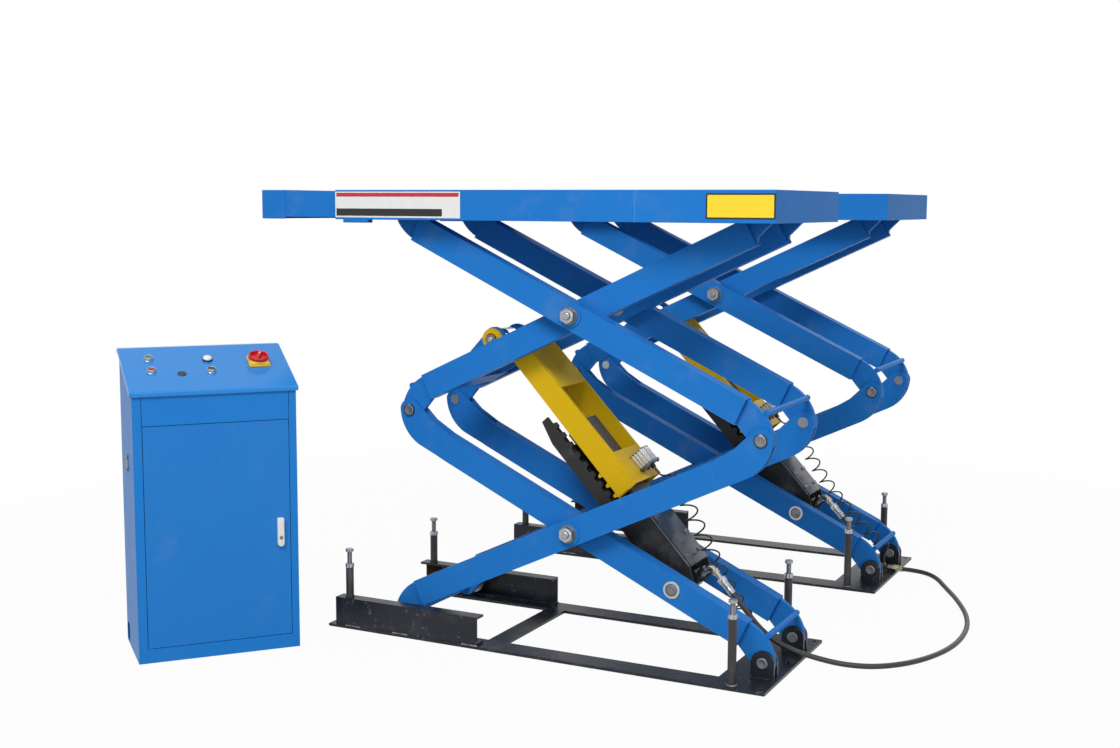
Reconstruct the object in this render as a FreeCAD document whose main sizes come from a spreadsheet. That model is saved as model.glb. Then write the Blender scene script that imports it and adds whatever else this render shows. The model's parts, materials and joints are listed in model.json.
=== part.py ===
"""In-ground scissor lift: two double scissor units, the hose between them and the control cabinet.

Millimetres, +Z up. The origin is on the floor, at the middle of the four outermost anchor holes.
X runs along the platforms towards the fixed arm pivots, and Y runs from the front unit to the rear.
"""
import FreeCAD, Part
import math
import os
import Sketcher

Vector = FreeCAD.Vector
Rotation = FreeCAD.Rotation
Placement = FreeCAD.Placement
OUT = "parts"

SIZES = {
    # The scissor: pin to pin length, raised angle, and how much flatter the tubes lie
    "ArmPitch": 1500.0, "RaisedAngle": 28.8, "TubeTilt": 3.6, "UnitSpacing": 1330.0,
    "TubeHigh": 90.0, "TubeWide": 50.0, "InnerFace": 132.0, "ArmGap": 10.0,
    "TongueThick": 18.0, "CheekThick": 12.0, "PlateInset": 4.0, "CheekSide": 2.0,
    "HeadRadius": 38.0, "TopHeadRadius": 31.5, "NeckHigh": 14.0, "TongueReach": 100.0,
    "CheekReach": 180.0, "EndCurve": 150.0, "EndCurveStart": 92.0,
    "SlimEdge": 18.0, "TieRadius": 10.0, "TieAlong": 33.0, "TieBelow": 31.0,
    "PinRadius": 18.0, "PinFit": 0.05, "PinProud": 3.0, "BossRadius": 40.0, "BossThick": 4.0,
    "NutFlats": 46.0, "NutThick": 8.0, "WasherRadius": 30.0, "WasherThick": 3.0, "StubRadius": 12.0,
    "StubProud": 4.0, "PinHeadRadius": 25.0, "PinHeadThick": 5.0, "RingWide": 3.0, "RingThick": 1.5,
    "SeatGap": 0.3, "Overrun": 20.0,
    # The base
    "PivotHeight": 60.0, "PlateThick": 10.0, "BasePast": 79.0, "BaseWide": 620.0, "BaseRight": 52.0,
    "StripWide": 90.0, "EndPlateLong": 182.0, "BarLong": 72.0, "BarFromRight": 953.0, "AnchorInset": 20.0,
    "AnchorSide": 25.0, "AnchorRadius": 7.0, "EarWide": 77.0, "EarSide": 2.0, "EarThick": 12.0,
    "RailHigh": 100.0, "RailWide": 48.0, "RailFlange": 8.0, "RailWeb": 6.0, "RailLong": 579.0,
    "RailInset": 29.0, "RailSide": 3.0, "PostRadius": 13.5, "PostBore": 9.0, "PostRight": 117.0,
    "PostRightSide": 28.0, "PostLeft": 75.0, "PostLeftSide": 26.0, "PostHigh": 214.0, "PostOnRail": 108.0,
    "BoltRadius": 8.0, "BoltTop": 275.0, "BoltHeadFlats": 24.0, "BoltHeadThick": 10.0, "BoltNutFlats": 26.0,
    "BoltNutThick": 14.0,
    # Rollers
    "RollerSide": 20.0, "RollerWide": 30.0, "TopRollerRadius": 33.0, "RollerWasher": 26.0,
    "RollerWasherThick": 3.0, "RollerPlay": 0.5,
    # The platform
    "DeckAbovePivot": 43.7, "DeckThick": 5.0, "DeckWide": 664.0, "DeckDeep": 100.0, "DeckRight": 62.0,
    "DeckPast": 12.0, "SkirtThick": 5.0, "LipReach": 70.0, "TrackWeb": 6.0, "TrackLong": 300.0,
    "RibThick": 6.0, "RibDeep": 30.0, "RibSide": 118.0, "RibStart": 1240.0, "StopLong": 100.0,
    "StopWide": 32.0, "StopThick": 11.0, "StopLeft": 32.0,
    "ExtensionOut": 313.0, "ExtensionIn": 72.0, "CapLong": 100.0, "ExtensionSide": 1.0, "ExtensionThick": 4.8,
    "ExtensionDrop": 0.5, "ExtensionDeep": 88.0,
    # The cylinder
    "FootAlong": 369.8, "FootAbove": 25.0, "HeadAlong": 377.5, "HeadAbove": 84.6,
    "BarrelRadius": 38.0, "BarrelBore": 32.0, "BarrelStart": 30.0, "BarrelShort": 415.3, "BarrelFloor": 62.0,
    "GlandLong": 34.0, "EyeRadius": 34.0, "EyeHalf": 28.0, "RodRadius": 25.0, "RodFit": 0.1,
    "PistonLong": 40.0, "PistonStand": 334.3, "PistonFit": 0.3, "PortAlong": 9.0, "PortRadius": 13.0,
    "PortTop": 48.0, "ElbowRise": 8.0, "ElbowBend": 25.0, "ElbowReach": 80.0, "ElbowNut": 18.0,
    "FerruleLong": 45.0, "HoseLead": 70.0, "FootBossRadius": 29.0, "FootBossThick": 3.0,
    # The rack housing on the cylinder
    "HousingInside": 78.0, "HousingSheet": 8.0, "HousingFoot": 34.0, "RidgeStart": 25.0, "RidgeEnd": 330.0,
    "RidgeAbove": 56.0, "CoverThick": 6.0, "HousingBelow": 60.0, "HousingTail": 140.0, "HousingShort": 365.3,
    "NoseLong": 80.0, "RackInside": 94.0, "RackThick": 12.0, "RackStart": 300.0, "RackShort": 335.3,
    "RackTop": 0.0, "ToothPitch": 42.0, "ToothDeep": 14.0, "ToothTip": 16.0, "ToothRoot": 26.0,
    "ToothFirst": 385.0, "SpacerLong": 50.0, "SpacerStart": 360.0, "CoverRib": 10.0, "CoverRibHigh": 4.0,
    "CoverRibSide": 27.0, "HousingHeel": 10.0,
    # The latch bracket on the rod
    "LatchThick": 10.0, "LatchHeadRadius": 38.0, "LatchEdge": 14.0, "LatchTop": 90.0, "LatchTopLow": 101.0,
    "LatchFrom": 60.0, "LatchCut": 44.0, "LatchCutDrop": 12.0, "LatchShort": 349.3, "LatchCover": 6.0,
    "UpperCoverStart": 120.0,
    "UpperCoverEnd": 290.0, "LowerCoverLong": 131.0, "PawlTip": 8.0, "PawlRoot": 17.0, "PawlLift": 1.5,
    "DoublerLong": 120.0, "DoublerHigh": 46.0, "DoublerThick": 3.0, "CollarRadius": 25.0, "CollarThick": 4.0,
    "LatchPinProud": 4.0, "AirLong": 62.0, "AirWide": 50.0, "AirHigh": 56.0, "AirSlot": 4.0, "AirFlange": 8.0,
    "AirFlangeProud": 4.0, "AirInset": 29.0, "PlungerRadius": 8.0, "PlungerReach": 26.0, "AirPort": 7.0,
    # The lugs on the upper inner arms
    "LugInside": 74.0, "LugThick": 12.0, "LugRadius": 42.0, "BeamAlong": 180.0, "BeamLong": 80.0,
    "BeamHigh": 70.0, "LugFoot": 330.0, "LugHeel": 186.0,
    # The curly air hoses
    "AirTube": 3.0, "CurlRadius": 24.0, "CurlAcross": 46.0, "AirLead": 12.0,
    # The hydraulic hose
    "HoseRadius": 9.0, "FerruleRadius": 12.0, "NutFlatsSmall": 26.0, "ElbowRadius": 8.0,
    "CouplingX": 20.0, "CouplingAcross": 30.0, "CouplingAbove": 25.5, "CouplingLong": 60.0,
    "AirStubRadius": 6.0, "AirStubHigh": 30.0, "AirStubFlats": 15.6,
    # The cabinet
    "CabinetX": -1103.0, "CabinetY": -1624.6, "CabinetTurn": 50.0, "CabinetWide": 532.0,
    "CabinetDeep": 309.0, "CabinetFront": 880.0, "Sheet": 2.0, "ConsoleRise": 115.0, "ConsoleFlat": 30.0,
    "LidOver": 8.0, "LidDeep": 18.0, "LidSheet": 3.0, "DoorLeft": 31.0, "DoorRight": 27.0, "DoorBottom": 49.0,
    "DoorTop": 784.0, "DoorGap": 2.0, "HingeInset": 4.0, "HingeRadius": 1.9,
    "HingeLug": 12.0, "DoorSheet": 2.0, "DoorReturn": 16.0,
    "HandleWide": 27.0, "HandleHigh": 100.0, "HandleBottom": 354.0, "HandleSide": 20.0, "HandlePlate": 4.0,
    "HandleLever": 12.0, "LeverInset": 4.0, "SpindleRadius": 6.0, "LockRadius": 8.5, "LockProud": 2.0,
    "SideLatchWide": 30.0, "SideLatchHigh": 50.0,
    "SideLatchBottom": 620.0, "CableCut": 60.0,
    "TankLong": 380.0, "TankDeep": 200.0, "TankHigh": 230.0, "TankInset": 50.0, "MotorRadius": 75.0,
    "MotorHigh": 240.0, "BlockSize": 90.0, "BlockHigh": 70.0, "TankFeet": 20.0,
    # The controls on the console
    "ButtonRadius": 11.0, "ButtonProud": 9.0, "CollarOuter": 15.0, "CollarHigh": 6.0, "ButtonFit": 0.4,
    "ButtonTravel": 4.0, "LampRadius": 16.0, "LampHigh": 14.0,
    "BuzzerRadius": 14.0, "BuzzerHigh": 8.0, "SwitchPlate": 78.0, "SwitchPlateThick": 5.0,
    "SwitchCollar": 32.0, "SwitchCollarHigh": 8.0, "KnobRadius": 27.0, "KnobHigh": 24.0, "KnobGrip": 14.0,
    "KnobGripHigh": 12.0, "KnobGripInset": 2.7,
    "GreenAlong": 82.0, "GreenUp": 226.0, "RedAlong": 80.0, "RedUp": 138.0, "BuzzerAlong": 176.0,
    "BuzzerUp": 116.0, "LampAlong": 274.0, "LampUp": 210.0, "BlackAlong": 273.0, "BlackUp": 126.0,
    "SwitchAlong": 440.0, "SwitchUp": 178.0,
}
RACK_TEETH = 8
PAWL_TEETH = 3
CURLS = {"front": 10, "rear": 11}
# The curly hoses' middle lines: three places that pull on each, as shares of the arm pitch (X, height)
CURL_SHARES = {"front": ((-0.250, 0.340), (-0.173, 0.180), (-0.070, 0.020)),
               "rear": ((-0.250, 0.340), (-0.163, 0.157), (0.000, 0.028))}
# The long hose between its two straight ends: X as a share of the arm pitch, Y as a share of the unit
# spacing, and height above the floor as a share of the pivot height
HOSE_SHARES = [(-0.0413, 0.0105, 1.50), (0.0040, 0.0346, 0.66), (0.0587, 0.0571, 0.20), (0.1267, 0.0600, 0.0),
               (0.2000, 0.0812, 0.0), (0.2680, 0.1699, 0.0), (0.3133, 0.3158, 0.0), (0.3227, 0.4812, 0.0),
               (0.2947, 0.6331, 0.0), (0.2420, 0.7900, 0.0), (0.1880, 0.9150, 0.0), (0.1480, 0.9960, 0.15)]
# The short hose of the rear unit, between its two straight ends, in the same shares from that unit
SHORT_SHARES = [(-0.0693, 0.0105, 1.10)]

doc = FreeCAD.newDocument("ScissorLift")
sheet = doc.addObject("Spreadsheet::Sheet", "Sizes")


class Size:
    """A size from the sheet, or a sum made of such sizes: its value, and the formula that binds it."""

    def __init__(self, value, text):
        self.value = value
        self.text = text

    def __float__(self):
        return float(self.value)

    def __neg__(self):
        return Size(-self.value, "(0 - %s)" % self.text)

    def __add__(self, other):
        return Size(self.value + float(other), "(%s + %s)" % (self.text, formula(other)))

    def __radd__(self, other):
        return Size(float(other) + self.value, "(%s + %s)" % (formula(other), self.text))

    def __sub__(self, other):
        return Size(self.value - float(other), "(%s - %s)" % (self.text, formula(other)))

    def __rsub__(self, other):
        return Size(float(other) - self.value, "(%s - %s)" % (formula(other), self.text))

    def __mul__(self, other):
        return Size(self.value * float(other), "(%s * %s)" % (self.text, formula(other)))

    def __rmul__(self, other):
        return Size(float(other) * self.value, "(%s * %s)" % (formula(other), self.text))

    def __truediv__(self, other):
        return Size(self.value / float(other), "(%s / %s)" % (self.text, formula(other)))


def formula(item):
    """The text of a size, or of a plain number."""
    return item.text if isinstance(item, Size) else "(%.9f)" % float(item)


def cosine(angle):
    return Size(math.cos(math.radians(float(angle))), "cos(%s)" % formula(angle))


def sine(angle):
    return Size(math.sin(math.radians(float(angle))), "sin(%s)" % formula(angle))


def tangent(angle):
    return Size(math.tan(math.radians(float(angle))), "tan(%s)" % formula(angle))


def root(size):
    return Size(math.sqrt(size.value), "sqrt(%s)" % size.text)


class Named:
    """All the sheet's sizes as attributes."""


S = Named()
for row, (alias, amount) in enumerate(SIZES.items(), start=1):
    sheet.set("A%d" % row, alias)
    sheet.set("B%d" % row, str(amount))
    sheet.setAlias("B%d" % row, alias)
    setattr(S, alias, Size(amount, "Sizes." + alias))
doc.recompute()

PLANES = {"XY": ("XY_Plane", 1), "XZ": ("XZ_Plane", -1), "YZ": ("YZ_Plane", 1)}
ZERO = 0.0
made = []


def bind(thing, name, size):
    """Set a property and tie it to the sheet."""
    thing.setExpression(name, formula(size))


def new_body(label):
    """An empty body, kept on the list of sub-parts."""
    body = doc.addObject("PartDesign::Body", label)
    body.Label = label
    body.AllowCompound = True
    made.append(body)
    return body


def origin_plane(body, role):
    for feature in body.Origin.OriginFeatures:
        if feature.Role == role:
            return feature
    raise ValueError(role)


def new_sketch(body, plane, level):
    """A sketch parallel to one of the body's own planes, at a level along that plane's axis."""
    role, sign = PLANES[plane]
    sketch = body.newObject("Sketcher::SketchObject", body.Label + "_sketch")
    sketch.AttachmentSupport = (origin_plane(body, role), [""])
    sketch.MapMode = "FlatFace"
    bind(sketch, "AttachmentOffset.Base.z", sign * level if isinstance(level, Size) else sign * float(level))
    return sketch


def tie(sketch, constraints):
    """Add constraints, and tie each one that has a size to the sheet."""
    numbers = sketch.addConstraint([made_of for made_of, size in constraints])
    for number, (made_of, size) in zip(numbers, constraints):
        if size is None:
            continue
        name = "size%d" % number
        sketch.renameConstraint(number, name)
        bind(sketch, "Constraints." + name, size)


def at_point(geometry, end, place):
    """The two constraints that hold a point."""
    return [(Sketcher.Constraint("DistanceX", geometry, end, float(place[0])), place[0]),
            (Sketcher.Constraint("DistanceY", geometry, end, float(place[1])), place[1])]


def draw_circle(sketch, x, y, radius):
    circle = Part.Circle(Vector(float(x), float(y), 0), Vector(0, 0, 1), float(radius))
    number = sketch.addGeometry(circle, False)
    size = Sketcher.Constraint("Radius", number, float(radius))
    tie(sketch, at_point(number, 3, (x, y)) + [(size, radius)])


def edge_between(here, there):
    """A line, or an arc where there has a radius: over zero it turns left, under zero it turns right."""
    first = Vector(float(here[0]), float(here[1]), 0)
    last = Vector(float(there[0]), float(there[1]), 0)
    if len(there) == 2:
        return Part.LineSegment(first, last), 1, 2
    radius = float(there[2])
    chord = last - first
    left = Vector(-chord.y, chord.x, 0).normalize()
    away = math.sqrt(max(radius ** 2 - (chord.Length / 2) ** 2, 0))
    centre = (first + last) * 0.5 + left * math.copysign(away, radius)
    circle = Part.Circle(centre, Vector(0, 0, 1), abs(radius))
    if radius < 0:
        first, last = last, first
    begin = math.atan2(first.y - centre.y, first.x - centre.x)
    finish = math.atan2(last.y - centre.y, last.x - centre.x)
    if finish <= begin:
        finish += 2 * math.pi
    arc = Part.ArcOfCircle(circle, begin, finish)
    return (arc, 1, 2) if radius > 0 else (arc, 2, 1)


def draw_outline(sketch, points):
    """A closed outline of lines and arcs, each corner held by sizes from the sheet."""
    edges = [edge_between(here, there) for here, there in zip(points, points[1:] + points[:1])]
    numbers = sketch.addGeometry([edge[0] for edge in edges], False)
    constraints = []
    for index, number in enumerate(numbers):
        start = edges[index][1]
        before = index - 1
        joined = Sketcher.Constraint("Coincident", numbers[before], edges[before][2], number, start)
        constraints.append((joined, None))
        constraints += at_point(number, start, points[index])
        there = points[(index + 1) % len(points)]
        if len(there) == 3:
            radius = there[2] if float(there[2]) > 0 else -there[2]
            constraints.append((Sketcher.Constraint("Radius", number, float(radius)), radius))
    tie(sketch, constraints)


def draw_path(sketch, points):
    """An open line of lines and arcs."""
    edges = [edge_between(here, there) for here, there in zip(points, points[1:])]
    numbers = sketch.addGeometry([edge[0] for edge in edges], False)
    constraints = at_point(numbers[-1], edges[-1][2], points[-1])
    for index, number in enumerate(numbers):
        start = edges[index][1]
        constraints += at_point(number, start, points[index])
        if index:
            joined = Sketcher.Constraint("Coincident", numbers[index - 1], edges[index - 1][2], number, start)
            constraints.append((joined, None))
        there = points[index + 1]
        if len(there) == 3:
            radius = there[2] if float(there[2]) > 0 else -there[2]
            constraints.append((Sketcher.Constraint("Radius", number, float(radius)), radius))
    tie(sketch, constraints)


def draw(sketch, shapes):
    for shape in shapes:
        if isinstance(shape, tuple):
            draw_circle(sketch, *shape)
        else:
            draw_outline(sketch, shape)


def layer(body, kind, plane, low, high, shapes):
    """Add or cut the shapes, drawn parallel to a plane, between two levels of its axis."""
    sketch = new_sketch(body, plane, low)
    draw(sketch, shapes)
    feature = body.newObject("PartDesign::" + kind, body.Label + "_" + kind.lower())
    feature.Profile = sketch
    along = PLANES[plane][1] > 0
    feature.Reversed = along if kind == "Pocket" else not along
    bind(feature, "Length", high - low)
    return feature


def pad(body, plane, low, high, *shapes):
    return layer(body, "Pad", plane, low, high, shapes)


def cut(body, plane, low, high, *shapes):
    return layer(body, "Pocket", plane, low, high, shapes)


def box(left, right, bottom, top):
    return [(left, bottom), (right, bottom), (right, top), (left, top)]


def hexagon(x, y, flats):
    """A hexagon with its corners to the left and right."""
    corner = flats / (2 * cosine(30))
    return [(x + corner, y + ZERO), (x + corner / 2, y + flats / 2), (x - corner / 2, y + flats / 2),
            (x - corner, y + ZERO), (x - corner / 2, y - flats / 2), (x + corner / 2, y - flats / 2)]


def span(side, inner, outer):
    """Levels on the near side (-1) or the far side (1) of the unit's middle, the lower one first."""
    return (side * inner, side * outer) if side > 0 else (side * outer, side * inner)


def set_down(body, x, y, z, turn=0.0, about=Vector(0, 1, 0)):
    body.Placement = Placement(Vector(float(x), float(y), float(z)), Rotation(about, float(turn)))


class Unit:
    """One scissor unit: its name, and where the fixed pivots' middle lies."""

    def __init__(self, name, side):
        self.name = name
        self.x = BASE_LONG / 2 - S.BaseRight
        self.y = side * S.UnitSpacing / 2
        self.z = S.PivotHeight

    def body(self, name):
        return new_body(self.name + "_" + name)

    def place(self, body, x=0.0, z=0.0, turn=0.0):
        set_down(body, float(self.x) + float(x), self.y, float(self.z) + float(z), turn)


BASE_LONG = S.ArmPitch + S.BasePast + S.BaseRight
RUN = S.ArmPitch * cosine(S.RaisedAngle)
RISE = S.ArmPitch * sine(S.RaisedAngle)
OUTER_FACE = S.InnerFace + S.TubeWide + S.ArmGap
MIDDLE_IN = S.InnerFace + S.TubeWide / 2
MIDDLE_OUT = OUTER_FACE + S.TubeWide / 2
PIN_BORE = S.PinRadius + S.PinFit
CHEEK_CENTRE = S.TubeWide / 2 - S.CheekSide - S.CheekThick / 2


def tube_corners(hand, high_reach, low_reach):
    """The side view of an arm's tube, turned flatter than the line between the pins."""
    lean, upright = sine(S.TubeTilt), cosine(S.TubeTilt)
    half = S.TubeHigh / 2
    ends = [high_reach - S.ArmPitch / 2, S.ArmPitch / 2 - low_reach]
    places = [(ends[0], -half), (ends[1], -half), (ends[1], half), (ends[0], half)]
    return [(hand * (along * upright - up * lean), along * lean + up * upright) for along, up in places]


def end_outline(hand, end, start, kind, head):
    """An end plate: it leaves the tube, curves in on the outside and goes round the pin.

    Each place is (from the pin towards the arm's middle, across towards the pin's side)."""
    slope = tangent(S.TubeTilt)
    half = S.TubeHigh / (2 * cosine(S.TubeTilt)) - (0 if kind == "fork" else S.PlateInset)
    slim = S.SlimEdge if kind == "slim" else 0 * S.SlimEdge

    def axis(reach):
        return (reach - S.ArmPitch / 2) * slope

    places = [(start, axis(start) - half), (S.EndCurveStart, axis(S.EndCurveStart) - half + slim),
              (-cosine(20) * head, -sine(20) * head, -hand * S.EndCurve),
              (cosine(75) * head, sine(75) * head, -hand * head), (start, axis(start) + half)]
    if kind == "fork":
        places.insert(-1, (S.EndCurveStart, S.NeckHigh))
    if kind == "slim":
        places[2] = (-cosine(60) * head, -sine(60) * head)
        places.insert(3, (-cosine(20) * head, sine(20) * head, -hand * head))
    pins = S.ArmPitch / 2
    return [(-hand * end * (pins - place[0]), end * place[1]) + place[2:] for place in places]


def pin_x(hand, end):
    return -hand * end * S.ArmPitch / 2


def arm_pair(unit, name, hand, middle, ends, extra_bores=(), top_head=S.HeadRadius):
    """Two arms and their tie. hand is 1 where the arm rises to the left; ends maps 1 (high) and -1 (low)
    to a fork or a tongue. top_head is the radius of the high end."""
    body = unit.body(name)
    reach = {kind: (S.CheekReach if kind == "fork" else S.TongueReach) for kind in ("fork", "tongue", "slim")}
    for side in (-1, 1):
        low, high = span(side, middle - S.TubeWide / 2, middle + S.TubeWide / 2)
        pad(body, "XZ", low, high, tube_corners(hand, reach[ends[1]], reach[ends[-1]]))
        for end in (1, -1):
            for inner, outer in plate_levels(ends[end], middle):
                levels = span(side, inner, outer)
                head = top_head if end > 0 else S.HeadRadius
                pad(body, "XZ", levels[0], levels[1],
                    end_outline(hand, end, reach[ends[end]] + S.PlateInset, ends[end], head))
    edge = middle + S.TubeWide / 2 + S.Overrun
    bores = [(pin_x(hand, 1), 0 * S.PinRadius, PIN_BORE), (0 * S.PinRadius, 0 * S.PinRadius, PIN_BORE),
             (pin_x(hand, -1), 0 * S.PinRadius, PIN_BORE)]
    cut(body, "XZ", -edge, edge, *(bores + list(extra_bores)))
    return body


def plate_levels(kind, middle):
    """Where an arm's end plates start and stop, across the arm."""
    if kind == "fork":
        return [(middle - CHEEK_CENTRE - S.CheekThick / 2, middle - CHEEK_CENTRE + S.CheekThick / 2),
                (middle + CHEEK_CENTRE - S.CheekThick / 2, middle + CHEEK_CENTRE + S.CheekThick / 2)]
    return [(middle - S.TongueThick / 2, middle + S.TongueThick / 2)]


def tie_rod(body, hand, end, middle):
    """The round rod that joins the two arms of a pair, below the tubes' axis."""
    x = -hand * end * (S.ArmPitch / 2 - S.TieAlong)
    above = (S.ArmPitch / 2 - S.TieAlong) * tangent(S.TubeTilt) + S.TieBelow
    half = middle - S.TongueThick / 2 + S.PlateInset
    pad(body, "XZ", -half, half, (x, -end * above, S.TieRadius))


def outer_bosses(body):
    """The round bosses at the centre pivot, on the outside of the outer arms."""
    face = OUTER_FACE + S.TubeWide
    for side in (-1, 1):
        low, high = span(side, face, face + S.BossThick)
        pad(body, "XZ", low, high, (0 * S.PinRadius, 0 * S.PinRadius, S.BossRadius))
        cut(body, "XZ", low, high, (0 * S.PinRadius, 0 * S.PinRadius, PIN_BORE))


def roller_axle(body, hand, end):
    """The shaft through both outer arms that carries a pair of rollers on its ends."""
    x = pin_x(hand, end)
    outside = MIDDLE_OUT + S.TubeWide / 2 + S.RollerSide + S.RollerWide
    cap = outside + S.RollerPlay
    pad(body, "XZ", -outside, outside, (x, 0 * S.PinRadius, S.PinRadius - S.PinFit))
    for side in (-1, 1):
        low, high = span(side, outside, cap + S.RollerWasherThick)
        pad(body, "XZ", low, high, (x, 0 * S.PinRadius, S.StubRadius))
        low, high = span(side, cap, cap + S.RollerWasherThick)
        pad(body, "XZ", low, high, (x, 0 * S.PinRadius, S.RollerWasher))
        shoulder = MIDDLE_OUT + S.TubeWide / 2 + S.RollerSide - S.RollerPlay
        low, high = span(side, MIDDLE_OUT, shoulder)
        pad(body, "XZ", low, high, (x, 0 * S.PinRadius, S.RollerWasher))


def lower_inner_arms(unit):
    foot = (S.ArmPitch / 2 - S.FootAlong, S.FootAbove, PIN_BORE)
    body = arm_pair(unit, "lower_inner_arms", 1, MIDDLE_IN, {1: "fork", -1: "tongue"}, [foot])
    tie_rod(body, 1, -1, MIDDLE_IN)
    unit.place(body, -RUN / 2, RISE / 2, S.RaisedAngle)


def lower_outer_arms(unit):
    body = arm_pair(unit, "lower_outer_arms", -1, MIDDLE_OUT, {1: "fork", -1: "tongue"})
    outer_bosses(body)
    roller_axle(body, -1, -1)
    unit.place(body, -RUN / 2, RISE / 2, -S.RaisedAngle)


def upper_inner_arms(unit):
    body = arm_pair(unit, "upper_inner_arms", -1, MIDDLE_IN, {1: "slim", -1: "tongue"})
    tie_rod(body, -1, -1, MIDDLE_IN)
    cylinder_lugs(body)
    unit.place(body, -RUN / 2, RISE * 1.5, -S.RaisedAngle)


def upper_outer_arms(unit):
    body = arm_pair(unit, "upper_outer_arms", 1, MIDDLE_OUT, {1: "tongue", -1: "tongue"},
                    top_head=S.TopHeadRadius)
    outer_bosses(body)
    roller_axle(body, 1, 1)
    tie_rod(body, 1, -1, MIDDLE_OUT)
    unit.place(body, -RUN / 2, RISE * 1.5, S.RaisedAngle)


def cylinder_lugs(body):
    """The cross beam between the upper inner arms, with two triangular lugs for the cylinder's pin."""
    left = -S.ArmPitch / 2
    beam = box(left + S.BeamAlong, left + S.BeamAlong + S.BeamLong, -S.BeamHigh / 8, S.BeamHigh * 7 / 8)
    pad(body, "XZ", -S.InnerFace, S.InnerFace, beam)
    x, z, radius = left + S.HeadAlong, S.HeadAbove, S.LugRadius
    heel, foot = left + S.LugHeel, left + S.LugFoot
    outline = [(heel, -S.BeamHigh / 8), (foot, -S.BeamHigh / 8),
               (x + radius * cosine(20), z - radius * sine(20)),
               (x + radius * cosine(50), z + radius * sine(50), radius),
               (x - radius * cosine(50), z + radius * sine(50), radius), (heel, S.BeamHigh * 7 / 8)]
    for side in (-1, 1):
        low, high = span(side, S.LugInside, S.LugInside + S.LugThick)
        pad(body, "XZ", low, high, outline)


def pin_levels(middle):
    """A pin through a fork or a pair of ears, a little proud of both faces."""
    return middle - S.TubeWide / 2 - S.PinProud / 2, middle + S.TubeWide / 2 + S.PinProud


def plain_pins(body, x, z, middle):
    """A pin on each side, with its spring ring."""
    inner, outer = pin_levels(middle)
    ring = outer - S.PinProud / 2
    for side in (-1, 1):
        low, high = span(side, inner, outer)
        pad(body, "XZ", low, high, (x, z, S.PinRadius))
        low, high = span(side, ring - S.RingThick / 2, ring + S.RingThick / 2)
        pad(body, "XZ", low, high, (x, z, S.PinRadius + S.RingWide))


def centre_pins(body):
    """The centre pivots: a headed pin through both arms, with a washer and a nut outside."""
    zero = 0 * S.PinRadius
    inside = S.InnerFace - S.SeatGap
    face = OUTER_FACE + S.TubeWide + S.BossThick + S.SeatGap
    levels = [(inside - S.PinHeadThick, inside, S.PinHeadRadius), (inside, face, S.PinRadius),
              (face, face + S.WasherThick, S.WasherRadius),
              (face, face + S.WasherThick + S.NutThick + S.StubProud, S.StubRadius)]
    for side in (-1, 1):
        for inner, outer, radius in levels:
            low, high = span(side, inner, outer)
            pad(body, "XZ", low, high, (zero, zero, radius))
        low, high = span(side, face + S.WasherThick, face + S.WasherThick + S.NutThick)
        pad(body, "XZ", low, high, hexagon(zero, zero, S.NutFlats))


def lower_arm_pins(unit):
    body = unit.body("lower_arm_pins")
    centre_pins(body)
    plain_pins(body, -S.ArmPitch / 2, 0 * S.PinRadius, MIDDLE_IN)
    unit.place(body, -RUN / 2, RISE / 2, S.RaisedAngle)


def upper_centre_pins(unit):
    body = unit.body("upper_centre_pins")
    centre_pins(body)
    unit.place(body, -RUN / 2, RISE * 1.5, -S.RaisedAngle)


def mid_right_pins(unit):
    body = unit.body("mid_right_pins")
    plain_pins(body, S.ArmPitch / 2, 0 * S.PinRadius, MIDDLE_OUT)
    unit.place(body, -RUN / 2, RISE / 2, -S.RaisedAngle)


def base_pins(units):
    body = new_body("base_pins")
    zero = 0 * S.PinRadius
    inner, outer = pin_levels(MIDDLE_IN)
    for unit in units:
        for side in (-1, 1):
            low, high = span(side, inner, outer)
            pad(body, "XZ", unit.y + low, unit.y + high, (zero, zero, S.PinRadius))
    set_down(body, units[0].x, 0, units[0].z)


def platform_pins(unit):
    body = unit.body("platform_pins")
    plain_pins(body, 0 * S.PinRadius, 0 * S.PinRadius, MIDDLE_IN)
    unit.place(body, 0, RISE * 2)


def rollers(unit, name, radius, z):
    """A roller on each end of the shaft, with a turned step on its outer face."""
    body = unit.body(name)
    zero = 0 * S.PinRadius
    inner = MIDDLE_OUT + S.TubeWide / 2 + S.RollerSide
    step = S.RollerPlay
    for side in (-1, 1):
        low, high = span(side, inner, inner + S.RollerWide - step)
        pad(body, "XZ", low, high, (zero, zero, radius - step))
        low, high = span(side, inner + step * 4, inner + S.RollerWide - step * 5)
        pad(body, "XZ", low, high, (zero, zero, radius))
        low, high = span(side, inner - step, inner + S.RollerWide)
        cut(body, "XZ", low, high, (zero, zero, PIN_BORE))
    unit.place(body, -RUN, z)


def ears(body, middle, z_foot, up):
    """Two ears on each side, either side of a tongue. up is 1 where they stand and -1 where they hang."""
    half = S.EarWide / 2
    zero = 0 * S.PinRadius
    outline = [(-half, z_foot), (half, z_foot), (half, zero), (zero, half * up, half * up),
               (-half, zero, half * up)]
    inner = S.TongueThick / 2 + S.EarSide
    for side in (-1, 1):
        for start in (middle + inner, middle - inner - S.EarThick):
            low, high = span(side, start, start + S.EarThick)
            pad(body, "XZ", low, high, outline)
            cut(body, "XZ", low, high, (zero, zero, PIN_BORE))


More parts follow.
